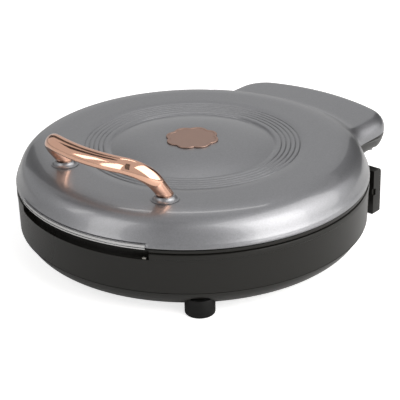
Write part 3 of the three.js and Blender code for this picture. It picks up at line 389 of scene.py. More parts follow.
def add_piece(name, bm, node, stands_for=(), body=None):
    """Turns a bmesh into a finished object that rides and is coloured as the given CAD node is."""
    mesh = bpy.data.meshes.new(name)
    bm.to_mesh(mesh)
    bm.free()
    piece = bpy.data.objects.new(name, mesh)
    bpy.context.scene.collection.objects.link(piece)
    mesh.materials.append(finish_of(SLOT_OF_NODE[node]))
    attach(piece, body or BODY_OF_NODE[node])
    if stands_for:
        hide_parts(*stands_for)
    return piece


def around(radius, bearing, height):
    """The point at a radius from the drum's axis, a bearing from +X and a height."""
    return Vector((radius * math.cos(bearing), AXIS_Y + radius * math.sin(bearing), height))


def eased(share):
    """A share from 0 to 1 that starts and ends gently."""
    return share * share * (3 - 2 * share)


def arc(centre, radius, start, end, steps):
    """Points of an arc in a section, as (radius, height)."""
    angles = [start + (end - start) * i / steps for i in range(steps + 1)]
    return [(centre[0] + radius * math.cos(a), centre[1] + radius * math.sin(a)) for a in angles]


def spun(section, steps=ROUND_STEPS, start=0.0, turn=FULL_TURN, closed=True, centre=None, lift=0.0):
    """A bmesh from a section of (radius, height) points spun about the drum's axis or another."""
    middle = Vector((0, AXIS_Y, 0)) if centre is None else Vector((centre[0], centre[1], 0))
    bm = bmesh.new()
    direction = Vector((math.cos(start), math.sin(start), 0))
    verts = [bm.verts.new(middle + direction * r + Vector((0, 0, z + lift))) for r, z in section]
    edges = [bm.edges.new(pair) for pair in zip(verts, verts[1:])]
    if closed:
        edges.append(bm.edges.new((verts[-1], verts[0])))
    is_full = abs(turn - FULL_TURN) < WELD
    bmesh.ops.spin(
        bm, geom=verts + edges, cent=middle, axis=(0, 0, 1), angle=turn, steps=steps, use_merge=is_full)
    bmesh.ops.remove_doubles(bm, verts=bm.verts, dist=WELD)
    if closed and not is_full:
        bmesh.ops.holes_fill(bm, edges=bm.edges, sides=0)
    bmesh.ops.recalc_face_normals(bm, faces=bm.faces)
    return bm


def block(low, high):
    bm = bmesh.new()
    bmesh.ops.create_cube(bm, size=1.0)
    low, high = Vector(low), Vector(high)
    bmesh.ops.scale(bm, vec=high - low, verts=bm.verts)
    bmesh.ops.translate(bm, vec=(low + high) / 2, verts=bm.verts)
    return bm


def temporary(bm):
    mesh = bpy.data.meshes.new("cutter")
    bm.to_mesh(mesh)
    bm.free()
    made = bpy.data.objects.new("cutter", mesh)
    bpy.context.scene.collection.objects.link(made)
    return made


def combined(body_bm, other_bm, operation):
    """The first closed bmesh joined with, or cut by, the second."""
    whole, other = temporary(body_bm), temporary(other_bm)
    modifier = whole.modifiers.new("combine", "BOOLEAN")
    modifier.operation = operation
    modifier.solver = "MANIFOLD"
    modifier.object = other
    evaluated = whole.evaluated_get(bpy.context.evaluated_depsgraph_get())
    bm = bmesh.new()
    bm.from_mesh(evaluated.to_mesh())
    evaluated.to_mesh_clear()
    for used in (whole, other):
        mesh = used.data
        bpy.data.objects.remove(used)
        bpy.data.meshes.remove(mesh)
    if not bm.faces:
        raise RuntimeError(f"the {operation.lower()} left nothing")
    return bm


def merged(first, second):
    """Both bmeshes in one, side by side."""
    mesh = bpy.data.meshes.new("merge")
    second.to_mesh(mesh)
    second.free()
    first.from_mesh(mesh)
    bpy.data.meshes.remove(mesh)
    return first


def softened_copy(name, node, edge_width, reshape=None):
    """A welded copy of a CAD node with its hard edges rounded a little, in place of the node."""
    bm = bmesh.new()
    bm.from_mesh(frame["nodes"][node].data)
    bmesh.ops.remove_doubles(bm, verts=bm.verts, dist=CAD_WELD)
    if reshape:
        reshape(bm)
    bmesh.ops.dissolve_limit(bm, angle_limit=FLAT_ANGLE, verts=bm.verts, edges=bm.edges)
    hard = [edge for edge in bm.edges if edge.calc_face_angle(0.0) > SHARP_ANGLE]
    bmesh.ops.bevel(
        bm, geom=hard, offset=edge_width, offset_type="OFFSET", affect="EDGES", segments=2,
        profile=0.5, material=-1, clamp_overlap=True)
    shade_smooth(bm)
    return add_piece(name, bm, node, stands_for=[node])


# Lid, with radii from the drum's axis and heights from the rim

SHOULDER_STEPS = 30
RIM_BAND = 3.6 * MM
RIM_CREASE_DEPTH = 1.1 * MM
RIM_LEAN = 0.9 * MM
RIM_CREASE_HEIGHT = 0.5 * MM
RIM_EDGE = 0.35 * MM
SHOULDER_LEAN = 4.5 * MM
SHOULDER_FULLNESS = 9 * MM
SHOULDER_TOP_REACH = 26 * MM
LID_WALL = 1.6 * MM
LIP_WIDTH = 5 * MM
LIP_INSET = 1 * MM
LIP_OUTER_HEIGHT = LIP_WIDTH * 0.7
GROOVE_OUTER_RADIUS = 97.5 * MM
GROOVE_HALF_WIDTH = 1.0 * MM
GROOVE_SHARES = (-1, -0.5, 0, 0.5, 1)
CROWN_SHARES = (0.3, 0.6, 0.85)
DISC_STEPS = 14
DISC_FLAT_RADIUS = 27 * MM
DISC_STEP = 1.4 * MM
DISC_STEP_WIDTH = 4 * MM
WING_HALF_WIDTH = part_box("wing_cover")[1].x + 0.3 * MM
WING_REAR = LID_HIGH.y - AXIS_Y
WING_HEIGHT = 13 * MM
WING_CROWN = 1.2 * MM
WING_CORNER = 34 * MM
WING_EDGE = 12 * MM
WING_BOTTOM = LID_LOW.z - RIM_Z
WING_END_BOTTOM = -2.5 * MM
WING_DEEP_HALF = 70 * MM
WING_RISE_WIDTH = 12 * MM
WING_MARGIN = math.radians(9)
WING_MIX_WIDTH = 6 * MM
SKIRT_INNER = 162 * MM
SKIRT_WALL = 2.2 * MM
SKIRT_GAP = 0.5 * MM
SKIRT_TOP = 4 * MM
SKIRT_STEP = 1 * MM
SKIRT_LAP = 3 * MM
SKIRT_END_GAP = math.radians(1.6)
STRIP_HALF_ANGLE = math.radians(26.5)
STRIP_SEAT_DEPTH = 1.3 * MM

# The step round the disc: how far across it and how far up it each point is
DISC_STEP_SHAPE = ((0.12, -0.08), (0.3, 0.05), (0.6, 0.6), (0.85, 0.95), (1.1, 1.0))

# The rim band: the share of its lean at each height
RIM_SHAPE = (
    (1, RIM_BAND), (0.9, RIM_BAND - RIM_EDGE), (0.65, RIM_BAND * 0.7), (0.25, RIM_BAND * 0.4), (0, RIM_EDGE))

# The rays that trace the blended form of dome and wing start at this radius and height
TRACE_START = (118 * MM, -2 * MM)
TRACE_LENGTH = 150 * MM
TRACE_HALVINGS = 26
TRACE_RAYS = 420
TRACE_CROWDING = 0.8
FAR_BELOW = -100 * MM


def disc_height(radius, sizes):
    outward = (radius - DISC_FLAT_RADIUS) / (sizes.disc_radius - DISC_FLAT_RADIUS)
    return sizes.crown_height - DISC_STEP + sizes.disc_rise * (1 - outward ** 2)


def shoulder_points(sizes):
    """The dome's shoulder as one cubic curve, from the crown down to the rim band."""
    start = np.array([LID_RADIUS - RIM_CREASE_DEPTH, RIM_BAND + RIM_CREASE_HEIGHT])
    lower = start + [-SHOULDER_LEAN, SHOULDER_FULLNESS]
    end = np.array([sizes.crown_radius, sizes.crown_height])
    upper = end + [SHOULDER_TOP_REACH, -RIM_CREASE_DEPTH]
    share = np.linspace(1, 0, SHOULDER_STEPS + 1)[:, None]
    points = (
        (1 - share) ** 3 * start + 3 * share * (1 - share) ** 2 * lower
        + 3 * share ** 2 * (1 - share) * upper + share ** 3 * end)
    return [tuple(point) for point in points]


def crown_points(sizes):
    """From the middle of the disc, over its edge step and the pressed rings, to the crown's edge."""
    points = [(0.0, disc_height(DISC_FLAT_RADIUS, sizes))]
    for i in range(DISC_STEPS):
        radius = DISC_FLAT_RADIUS + (sizes.disc_radius - DISC_FLAT_RADIUS) * i / (DISC_STEPS - 1)
        points.append((radius, disc_height(radius, sizes)))
    edge, top = sizes.disc_radius, sizes.crown_height
    for across, up in DISC_STEP_SHAPE:
        points.append((edge + DISC_STEP_WIDTH * across, top - DISC_STEP * (1 - up)))
    for i in reversed(range(sizes.groove_count)):
        middle = GROOVE_OUTER_RADIUS - i * sizes.groove_pitch
        for share in GROOVE_SHARES:
            depth = sizes.groove_depth * (1 + math.cos(math.pi * share)) / 2
            points.append((middle + GROOVE_HALF_WIDTH * share, top - depth))
    outer = GROOVE_OUTER_RADIUS + GROOVE_HALF_WIDTH
    for share in CROWN_SHARES:
        points.append((outer + (sizes.crown_radius - outer) * share, top))
    return points


def rim_points():
    """From the foot of the shoulder, over the crease and down the rim band to the lower edge."""
    corner = RIM_EDGE * CORNER_SHARE
    band = [(LID_RADIUS - RIM_LEAN * lean, height) for lean, height in RIM_SHAPE]
    return band + [(LID_RADIUS - corner, corner), (LID_RADIUS - RIM_EDGE, 0.0)]


def end_share(across):
    """From 0 over the hinge to 1 at the wing's ends."""
    return eased(np.clip((np.abs(across) - WING_DEEP_HALF) / WING_RISE_WIDTH, 0, 1))


def wing_distance(across, along, height):
    """How far a point is outside the wing, whose rear edge runs round the drum's axis."""
    corner_x = WING_HALF_WIDTH - WING_CORNER
    corner_y = math.sqrt((WING_REAR - WING_CORNER) ** 2 - corner_x ** 2)
    sideways = np.abs(across)
    from_side = sideways - corner_x
    from_rear = np.hypot(across, along) - WING_REAR + WING_CORNER
    is_corner = (along > corner_y) & (sideways * corner_y > along * corner_x)
    from_corner = np.hypot(from_side, along - corner_y)
    plan = np.where(is_corner, from_corner, np.maximum(from_side, from_rear)) - WING_CORNER
    top = WING_HEIGHT - WING_CROWN * np.minimum(sideways / WING_HALF_WIDTH, 1) ** 2
    side = plan + WING_EDGE
    rise = height - top + WING_EDGE
    outside = np.hypot(np.maximum(side, 0), np.maximum(rise, 0))
    inside = np.minimum(np.maximum(side, rise), 0)
    return outside + inside - WING_EDGE


def dome_distance(radius, height, outline):
    """How far a point is outside the dome, whose rim is taken to go straight down."""
    points = np.array(outline + [(LID_RADIUS, FAR_BELOW)])
    flat = np.stack([radius, height], axis=-1)
    nearest = np.full(radius.shape, np.inf)
    for a, b in zip(points, points[1:]):
        edge = b - a
        along = np.clip(((flat - a) @ edge) / (edge @ edge), 0, 1)
        nearest = np.minimum(nearest, np.linalg.norm(flat - a - along[..., None] * edge, axis=-1))
    top = np.interp(radius, points[:-1, 0], points[:-1, 1])
    is_inside = (radius < LID_RADIUS) & (height < top)
    return np.where(is_inside, -nearest, nearest)


def smooth_union(first, second, width):
    overlap = np.maximum(width - np.abs(first - second), 0) / width
    return np.minimum(first, second) - overlap ** 2 * width / 4


def wing_sections(bearings, outline, count, sizes):
    """For each bearing, `count` (radius, height) points down the blended form, and its wall's radius."""
    sine, cosine = np.sin(bearings)[:, None], np.cos(bearings)[:, None]
    origin = np.array(TRACE_START)

    def distance(radius, height):
        wing = wing_distance(radius * cosine, radius * sine, height)
        return smooth_union(dome_distance(radius, height, outline), wing, sizes.wing_blend)

    def reach(x_step, z_step):
        near, far = np.zeros(x_step.shape), np.full(x_step.shape, TRACE_LENGTH)
        for _ in range(TRACE_HALVINGS):
            middle = (near + far) / 2
            is_out = distance(origin[0] + middle * x_step, origin[1] + middle * z_step) > 0
            far, near = np.where(is_out, middle, far), np.where(is_out, near, middle)
        return near

    level = np.ones((len(bearings), 1))
    wall = origin[0] + reach(level, level * 0)[:, 0]
    wing_bottom = WING_BOTTOM + (WING_END_BOTTOM - WING_BOTTOM) * end_share(wall * np.cos(bearings))
    bottom = np.where(wall > SKIRT_INNER + SKIRT_GAP, wing_bottom, 0.0)
    first = np.arctan2(outline[0][1] - origin[1], outline[0][0] - origin[0])
    last = np.arctan2(bottom - origin[1], wall - origin[0])
    share = np.linspace(0, 1, TRACE_RAYS) ** TRACE_CROWDING
    angles = first + (last[:, None] - first) * share[None, :]
    length = reach(np.cos(angles), np.sin(angles))
    radius, height = origin[0] + length * np.cos(angles), origin[1] + length * np.sin(angles)
    sections = []
    for r, z in zip(radius, height):
        travelled = np.concatenate([[0], np.cumsum(np.hypot(np.diff(r), np.diff(z)))])
        stops = np.linspace(0, travelled[-1], count)
        sections.append(np.stack([np.interp(stops, travelled, r), np.interp(stops, travelled, z)], axis=-1))
    return sections, wall


def point_finder(section):
    """A function that tells which point of the section a place on the spun skin comes from."""
    exact = {(round(r / MM, 2), round(z / MM, 2)): i for i, (r, z) in enumerate(section)}

    def find(radius, height):
        index = exact.get((round(radius / MM, 2), round(height / MM, 2)))
        if index is None:
            index = min(range(len(section)), key=lambda i: (
                math.hypot(section[i][0] - radius, section[i][1] - height)))
        return index

    return find


def lid_skin(sizes):
    """The lid's outer face: a spun dome whose rear is drawn out into the wing."""
    outline = shoulder_points(sizes) + rim_points()
    section = crown_points(sizes) + outline
    outline_start = len(section) - len(outline)
    rim_start = len(section) - len(rim_points())
    bm = spun(section, closed=False, lift=RIM_Z)
    find = point_finder(section)

    # The rim steps in behind the strip, and each bearing's points below the crown are gathered
    columns = {}
    for vert in bm.verts:
        flat = Vector((vert.co.x, vert.co.y - AXIS_Y))
        bearing = math.atan2(flat.y, flat.x)
        index = find(flat.length, vert.co.z - RIM_Z)
        if index >= rim_start and abs(bearing - FRONT) < STRIP_HALF_ANGLE:
            vert.co -= Vector((flat.x, flat.y, 0)).normalized() * STRIP_SEAT_DEPTH
        if index > outline_start:
            columns.setdefault(round(bearing, 5), []).append((index - outline_start, vert))

    # At the rear those points move out to the wing, little by little where it leaves the rim
    reach = math.asin(WING_HALF_WIDTH / LID_RADIUS) + WING_MARGIN
    bearings = np.array(sorted(b for b in columns if abs(b - REAR) < reach))
    sections, wall = wing_sections(bearings, outline, len(outline), sizes)
    mixes = eased(np.clip((wall - LID_RADIUS) / WING_MIX_WIDTH, 0, 1))
    for bearing, points, mix in zip(bearings, sections, mixes):
        for index, vert in columns[bearing]:
            radius, height = points[index] * mix + np.array(outline[index]) * (1 - mix)
            vert.co = around(radius, bearing, RIM_Z + height)
    bmesh.ops.recalc_face_normals(bm, faces=bm.faces)
    return bm


def lip_ring():
    """The lip inside the rim."""
    inner, outer = LID_RADIUS - LIP_WIDTH, LID_RADIUS - LIP_INSET
    section = [(inner, 0), (outer, 0), (outer, LIP_OUTER_HEIGHT), (inner, LIP_WIDTH)]
    return spun(section, lift=RIM_Z)


def wing_skirt():
    """The wall that closes the wing toward the drum."""
    outer, lap = SKIRT_INNER + SKIRT_WALL, LID_RADIUS - SKIRT_LAP
    section = [
        (SKIRT_INNER, WING_END_BOTTOM), (outer, WING_END_BOTTOM), (outer, SKIRT_TOP), (lap, SKIRT_TOP),
        (lap, SKIRT_STEP), (SKIRT_INNER, SKIRT_STEP)]
    half = math.asin(WING_HALF_WIDTH / LID_RADIUS) - SKIRT_END_GAP
    return spun(section, steps=60, start=REAR - half, turn=2 * half, lift=RIM_Z)


class GRIDDLE_OT_lid(bpy.types.Operator):
    """Make the grey domed lid with its wing"""
    bl_idname = "griddle.lid"
    bl_label = "Lid"

    def execute(self, context):
        bm = lid_skin(context.scene.griddle_lid)
        bmesh.ops.solidify(bm, geom=bm.faces, thickness=LID_WALL)
        bm = merged(bm, lip_ring())
        bm = merged(bm, wing_skirt())
        shade_smooth(bm, sharp_angle=math.radians(50))
        add_piece("lid_dome", bm, "lid_shell", stands_for=["lid_shell"])
        return {"FINISHED"}


# Medallion

LOBES = 8
LOBE_STEPS = 16
LOBE_DEPTH = 2.6 * MM
MEDALLION_EDGE = 0.3 * MM
MEDALLION_RIM = 0.5 * MM
MEDALLION_BORDER = 1.6 * MM
FIELD_SLOPE = 0.35 * MM
FIELD_DEPTH = 0.3 * MM


class GRIDDLE_OT_medallion(bpy.types.Operator):
    """Make the bare scalloped badge on the disc"""
    bl_idname = "griddle.medallion"
    bl_label = "Medallion"

    def execute(self, context):
        low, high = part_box("lid_medallion")
        radius = (high.x - low.x) / 2
        bm = bmesh.new()
        bmesh.ops.create_circle(bm, cap_ends=True, segments=LOBES * LOBE_STEPS, radius=radius)
        for vert in bm.verts:
            bearing = math.atan2(vert.co.y, vert.co.x)
            lobe = abs(math.sin(bearing * LOBES / 2))
            vert.co = vert.co * (1 - LOBE_DEPTH * (1 - lobe) / radius)
        bmesh.ops.translate(bm, vec=(0, AXIS_Y, low.z), verts=bm.verts)
        sides = bmesh.ops.extrude_face_region(bm, geom=bm.faces[:])
        top = [item for item in sides["geom"] if isinstance(item, bmesh.types.BMVert)]
        bmesh.ops.translate(bm, vec=(0, 0, high.z - low.z), verts=top)
        bmesh.ops.recalc_face_normals(bm, faces=bm.faces)
        upper = max(bm.faces, key=lambda f: f.calc_center_median().z)
        rim = bmesh.ops.inset_region(bm, faces=[upper], thickness=MEDALLION_RIM, depth=0)
        bmesh.ops.inset_region(bm, faces=[upper], thickness=MEDALLION_BORDER, depth=0)
        bmesh.ops.inset_region(bm, faces=[upper], thickness=FIELD_SLOPE, depth=-FIELD_DEPTH)
        edges = [e for f in rim["faces"] for e in f.edges if abs(e.verts[0].co.z - e.verts[1].co.z) < WELD]
        outer = [e for e in dict.fromkeys(edges) if e.calc_face_angle(0.0) > SHARP_ANGLE]
        bmesh.ops.bevel(
            bm, geom=outer, offset=MEDALLION_EDGE, offset_type="OFFSET", affect="EDGES", segments=3,
            profile=0.5, material=-1)
        shade_smooth(bm)
        add_piece("scalloped_medallion", bm, "lid_medallion", stands_for=["lid_medallion"])
        return {"FINISHED"}


# Handle

HANDLE_FOOT = 58.5 * MM
HANDLE_FOOT_Y = 103 * MM
HANDLE_FOOT_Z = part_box("handle_bar")[0].z
HANDLE_BEND = 21 * MM
HANDLE_LEG_STEPS = 4
HANDLE_BEND_STEPS = 20
HANDLE_BAR_STEPS = 12
HANDLE_SECTION_STEPS = 40


def handle_stations(reach):
    """Places along the handle from the left foot to the right, as (across, distance up the lean)."""
    straight = reach - HANDLE_BEND
    half = [(-HANDLE_FOOT, straight * i / HANDLE_LEG_STEPS) for i in range(HANDLE_LEG_STEPS + 1)]
    for i in range(1, HANDLE_BEND_STEPS + 1):
        angle = QUARTER * i / HANDLE_BEND_STEPS
        across = -HANDLE_FOOT + HANDLE_BEND * (1 - math.cos(angle))
        half.append((across, straight + HANDLE_BEND * math.sin(angle)))
    bar_start = HANDLE_BEND - HANDLE_FOOT
    half += [(bar_start * (1 - i / HANDLE_BAR_STEPS), reach) for i in range(1, HANDLE_BAR_STEPS)]
    return half + [(0.0, reach)] + [(-across, along) for across, along in reversed(half)]


def handle_ring(point, tangent, across_axis, width, thickness):
    """The handle's oval section at a point, at right angles to its run."""
    thickness_axis = tangent.cross(across_axis).normalized()
    ring = []
    for step in range(HANDLE_SECTION_STEPS):
        angle = FULL_TURN * step / HANDLE_SECTION_STEPS
        cosine, sine = math.cos(angle), math.sin(angle)
        ring.append(point + across_axis * (width / 2 * cosine) + thickness_axis * (thickness / 2 * sine))
    return ring


class GRIDDLE_OT_handle(bpy.types.Operator):
    """Make the bowed handle bar and its two seats"""
    bl_idname = "griddle.handle"
    bl_label = "Handle"

    def execute(self, context):
        self.make_bar(context.scene.griddle_handle)
        for side in ("left", "right"):
            self.make_seat(side)
        return {"FINISHED"}

    def make_bar(self, sizes):
        """Draws an oval ring along the bar, cut level where the legs stand on their seats."""
        reach = math.hypot(sizes.lean, sizes.rise)
        lean_axis = Vector((0, -sizes.lean, sizes.rise)).normalized()
        across_axis = Vector((1, 0, 0)).cross(lean_axis)
        stations = handle_stations(reach)
        points = []
        for x, along in stations:
            share = along / reach
            bow = sizes.bow * (1 - (x / HANDLE_FOOT) ** 2)
            y = AXIS_Y - HANDLE_FOOT_Y - (sizes.lean + bow) * share
            points.append(Vector((x, y, HANDLE_FOOT_Z + sizes.rise * share)))
        bm = bmesh.new()
        ring = bmesh.ops.create_circle(bm, segments=HANDLE_SECTION_STEPS, radius=1.0)["verts"]
        edges = bm.edges[:]
        last = len(points) - 1
        for i, point in enumerate(points):
            if i > 0:
                grown = bmesh.ops.extrude_edge_only(bm, edges=edges)["geom"]
                ring = [item for item in grown if isinstance(item, bmesh.types.BMVert)]
                edges = [item for item in grown if isinstance(item, bmesh.types.BMEdge)]
            tangent = (points[min(i + 1, last)] - points[max(i - 1, 0)]).normalized()
            along = stations[i][1]
            bar_share = eased(along / reach)
            flatness = max(0, 1 - along / (reach - HANDLE_BEND))
            width = sizes.leg_width + (sizes.bar_width - sizes.leg_width) * bar_share
            thickness = sizes.leg_width + (sizes.bar_thickness - sizes.leg_width) * bar_share
            targets = handle_ring(point, tangent, across_axis, width, thickness)
            for vert, target in zip(ring, targets):
                vert.co = target + lean_axis * ((point.z - target.z) / lean_axis.z * flatness)
        bmesh.ops.holes_fill(bm, edges=bm.edges, sides=0)
        bmesh.ops.recalc_face_normals(bm, faces=bm.faces)
        shade_smooth(bm, sharp_angle=math.radians(60))
        add_piece("bowed_handle", bm, "handle_bar", stands_for=["handle_bar"])

    def make_seat(self, side):
        """A round seat that flares out toward the lid, with a bore for the screw."""
        low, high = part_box(f"handle_seat_{side}")
        radius, height = (high.x - low.x) / 2, high.z - low.z
        top_radius = 8.4 * MM
        bore = 2.3 * MM
        edge = 0.2 * MM
        flare_steps = 12
        section = [(bore, 0), (radius, 0), (radius, edge)]
        for i in range(1, flare_steps + 1):
            angle = QUARTER * i / flare_steps
            across = radius - (radius - top_radius) * math.sin(angle)
            section.append((across, edge + (height - edge) * (1 - math.cos(angle))))
        section.append((bore, height))
        middle = (low + high) / 2
        bm = spun(section, steps=SMALL_STEPS, centre=(middle.x, middle.y), lift=low.z)
        shade_smooth(bm)
        add_piece(f"round_seat_{side}", bm, f"handle_seat_{side}", stands_for=[f"handle_seat_{side}"])


# Trim strip, with heights from its own lower edge

STRIP_DROP = 1.7 * MM
STRIP_HEIGHT = 5.2 * MM
STRIP_ROOT = 0.9 * MM
STRIP_EDGE = 0.4 * MM
STRIP_END_GAP = 0.3 * MM

# Each groove's lower and upper edge and its depth
STRIP_GROOVES = ((1.4 * MM, 2.2 * MM, 1.3 * MM), (4.3 * MM, 5 * MM, 1.7 * MM))


class GRIDDLE_OT_trim(bpy.types.Operator):
    """Make the bright strip in the front of the lid's rim"""
    bl_idname = "griddle.trim"
    bl_label = "Trim strip"

    def execute(self, context):
        face = LID_RADIUS
        back = LID_RADIUS - STRIP_SEAT_DEPTH - STRIP_ROOT
        section = [(back, 0), (face - STRIP_EDGE, 0), (face, STRIP_EDGE)]
        for low, high, depth in STRIP_GROOVES:
            section += [(face, low), (face - depth, low), (face - depth, high), (face, high)]
        section += [(face, STRIP_HEIGHT), (back, STRIP_HEIGHT)]
        half = STRIP_HALF_ANGLE - STRIP_END_GAP / face
        bm = spun(section, steps=90, start=FRONT - half, turn=2 * half, lift=RIM_Z - STRIP_DROP)
        shade_smooth(bm)
        add_piece("bright_strip", bm, "lid_trim_strip", stands_for=["lid_trim_strip"])
        return {"FINISHED"}


# Base drum

BASE_TOP_RADIUS = 159.8 * MM
BASE_STEP_Z = RIM_Z - 10 * MM
BASE_CREASE_RADIUS = 158.7 * MM
BASE_CREASE_Z = RIM_Z - 41.8 * MM
BAND_RADIUS = 25 * MM
BAND_CENTRE = (133 * MM, RIM_Z - 34.6 * MM)
BAND_END = math.radians(-60)
BASE_WALL = 2.4 * MM
LEDGE_RADIUS = 146 * MM
LEDGE_DEPTH = 7.5 * MM
SHELF_RADIUS = 135 * MM
SHELF_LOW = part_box("bottom_cover")[1].z + 0.3 * MM
SHELF_HIGH = SHELF_LOW + 2.7 * MM
FOOT_RADIUS = 13 * MM
FOOT_WELL_GAP = 0.2 * MM
RIGHT_FOOT = (143 * MM, math.radians(47.6))
LEFT_FOOT = (136 * MM, math.radians(135))
FOOT_PLACES = (RIGHT_FOOT, LEFT_FOOT, (LEFT_FOOT[0], -LEFT_FOOT[1]), (RIGHT_FOOT[0], -RIGHT_FOOT[1]))
STAND_HALF_WIDTH = 105.5 * MM
STAND_REAR = 150.8 * MM
STAND_DEPTH = 12.5 * MM
STAND_HEIGHT = 40 * MM
STAND_TOP_EDGE = 4 * MM
STAND_EDGE = 1 * MM
STAND_LEG = 24 * MM
STAND_LEG_RISE = 4.5 * MM
NOTCH_DEPTH = 8 * MM
NOTCH_DROP = 5.9 * MM
NOTCH_HALF_ANGLE = math.radians(27.5)
YOKE_ARM_X = 40 * MM
YOKE_WINDOW_WIDTH = 10 * MM
YOKE_WINDOW_FRONT = 140 * MM
YOKE_WINDOW_REAR = 162 * MM
YOKE_WINDOW_DROP = 1 * MM
YOKE_WINDOW_RISE = 16 * MM
CLIP_DEPTH = 1.6 * MM
CLIP_HALF_LENGTH = 3.5 * MM
CLIP_LOW = 19.5 * MM
CLIP_HEIGHT = 6.5 * MM
INLET_BEARING = math.radians(160)
INLET_HALF_WIDTH = 16.3 * MM
INLET_LOW = 21.7 * MM
INLET_HIGH = 44.3 * MM
INLET_BORDER = 2.2 * MM
INLET_PAD_INNER = 149 * MM
INLET_PAD_OUTER = 157.5 * MM

# How far the notch and housing cutters reach past what they cut
NOTCH_OVERRUN = 3 * MM
STAND_OVERRUN = 5 * MM

# The heights and radii where the other cutters end, clear of what they cut
CUT_LOW = -10 * MM
CUT_HIGH = 80 * MM
INLET_CUT_INNER = 130 * MM
INLET_CUT_OUTER = 162 * MM


def band_angle(radius, height):
    return math.asin((height - BAND_CENTRE[1]) / radius)


def drum_section():
    """The drum's closed section: a rounded band, a fine groove, a steep wall and an inner ledge."""
    inner_radius = BAND_RADIUS - BASE_WALL
    top_edge = 0.6 * MM
    top_corner = top_edge * CORNER_SHARE
    step = 0.35 * MM
    crease_edge = 0.6 * MM
    crease_corner = crease_edge * CORNER_SHARE
    groove = 0.5 * MM
    groove_z = BASE_CREASE_Z + crease_edge
    return [
        *arc(BAND_CENTRE, BAND_RADIUS, BAND_END, band_angle(BAND_RADIUS, BASE_CREASE_Z), 24),
        (BASE_CREASE_RADIUS - crease_edge, BASE_CREASE_Z),
        (BASE_CREASE_RADIUS - crease_corner, BASE_CREASE_Z + crease_corner),
        (BASE_CREASE_RADIUS, groove_z), (BASE_CREASE_RADIUS - groove, groove_z + groove * 0.5),
        (BASE_CREASE_RADIUS, groove_z + groove),
        (BASE_TOP_RADIUS - step, BASE_STEP_Z), (BASE_TOP_RADIUS, BASE_STEP_Z + step),
        (BASE_TOP_RADIUS, BASE_TOP - top_edge), (BASE_TOP_RADIUS - top_corner, BASE_TOP - top_corner),
        (BASE_TOP_RADIUS - top_edge, BASE_TOP), (LEDGE_RADIUS, BASE_TOP),
        (LEDGE_RADIUS, BASE_TOP - LEDGE_DEPTH), (BASE_TOP_RADIUS - BASE_WALL, BASE_TOP - LEDGE_DEPTH),
        *arc(BAND_CENTRE, inner_radius, 0, band_angle(inner_radius, SHELF_HIGH), 6),
        (SHELF_RADIUS, SHELF_HIGH), (SHELF_RADIUS, SHELF_LOW),
        *arc(BAND_CENTRE, inner_radius, band_angle(inner_radius, SHELF_LOW), BAND_END, 8)]


def drum_space():
    """The inside of the drum, which the rear housing stays out of."""
    radius = BASE_CREASE_RADIUS - BASE_WALL
    section = [(0, CUT_LOW), (radius, CUT_LOW), (radius, CUT_HIGH), (0, CUT_HIGH)]
    return spun(section, steps=160)


def stand_solid():
    """The housing across the drum's back, with a leg at each end."""
    rear = AXIS_Y + STAND_REAR
    front = rear - STAND_DEPTH
    top = STAND_HEIGHT + STAND_LEG_RISE
    bm = block((-STAND_HALF_WIDTH, front, 0), (STAND_HALF_WIDTH, rear, top))
    top_rear = [
        e for e in bm.edges if all(v.co.y > rear - WELD and v.co.z > top - WELD for v in e.verts)]
    bmesh.ops.bevel(
        bm, geom=top_rear, offset=STAND_TOP_EDGE, offset_type="OFFSET", affect="EDGES", segments=8,
        profile=0.5, material=-1)
    sharp = [e for e in bm.edges if e.calc_face_angle(0.0) > SHARP_ANGLE and e.calc_length() > 0]
    sharp = [e for e in sharp if not all(v.co.y < front + WELD for v in e.verts)]
    bmesh.ops.bevel(
        bm, geom=sharp, offset=STAND_EDGE, offset_type="OFFSET", affect="EDGES", segments=4, profile=0.5,
        material=-1)
    gap = STAND_HALF_WIDTH - STAND_LEG
    for low_z, high_z in ((-STAND_OVERRUN, FOOT_HEIGHT), (STAND_HEIGHT, top + STAND_OVERRUN)):
        opening = block((-gap, front - STAND_OVERRUN, low_z), (gap, rear + STAND_OVERRUN, high_z))
        bm = combined(bm, opening, "DIFFERENCE")
    return bm


def notch_space():
    """The slot in the top of the drum's front."""
    inner, outer = BASE_TOP_RADIUS - NOTCH_DEPTH, BASE_TOP_RADIUS + NOTCH_OVERRUN
    low, high = BASE_TOP - NOTCH_DROP, BASE_TOP + NOTCH_OVERRUN
    section = [(inner, low), (outer, low), (outer, high), (inner, high)]
    return spun(section, steps=80, start=FRONT - NOTCH_HALF_ANGLE, turn=2 * NOTCH_HALF_ANGLE)


def foot_well(orbit, bearing):
    """The hollow in the drum's underside that a foot stands in."""
    radius = FOOT_RADIUS + FOOT_WELL_GAP
    section = [(0, CUT_LOW), (radius, CUT_LOW), (radius, SHELF_LOW), (0, SHELF_LOW)]
    return spun(section, steps=SMALL_STEPS, centre=around(orbit, bearing, 0))


def yoke_window(sign):
    """The window through the drum's back for one of the yoke's arms."""
    middle, half = sign * YOKE_ARM_X, YOKE_WINDOW_WIDTH / 2
    yoke_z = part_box("hinge_yoke")[0].z
    return block(
        (middle - half, AXIS_Y + YOKE_WINDOW_FRONT, yoke_z - YOKE_WINDOW_DROP),
        (middle + half, AXIS_Y + YOKE_WINDOW_REAR, yoke_z + YOKE_WINDOW_RISE))


def clip_recess(sign):
    """The shallow recess in one end of the rear housing."""
    side, middle = sign * STAND_HALF_WIDTH, AXIS_Y + STAND_REAR - STAND_DEPTH
    return block(
        (side - CLIP_DEPTH, middle - CLIP_HALF_LENGTH, CLIP_LOW),
        (side + CLIP_DEPTH, middle + CLIP_HALF_LENGTH, CLIP_LOW + CLIP_HEIGHT))


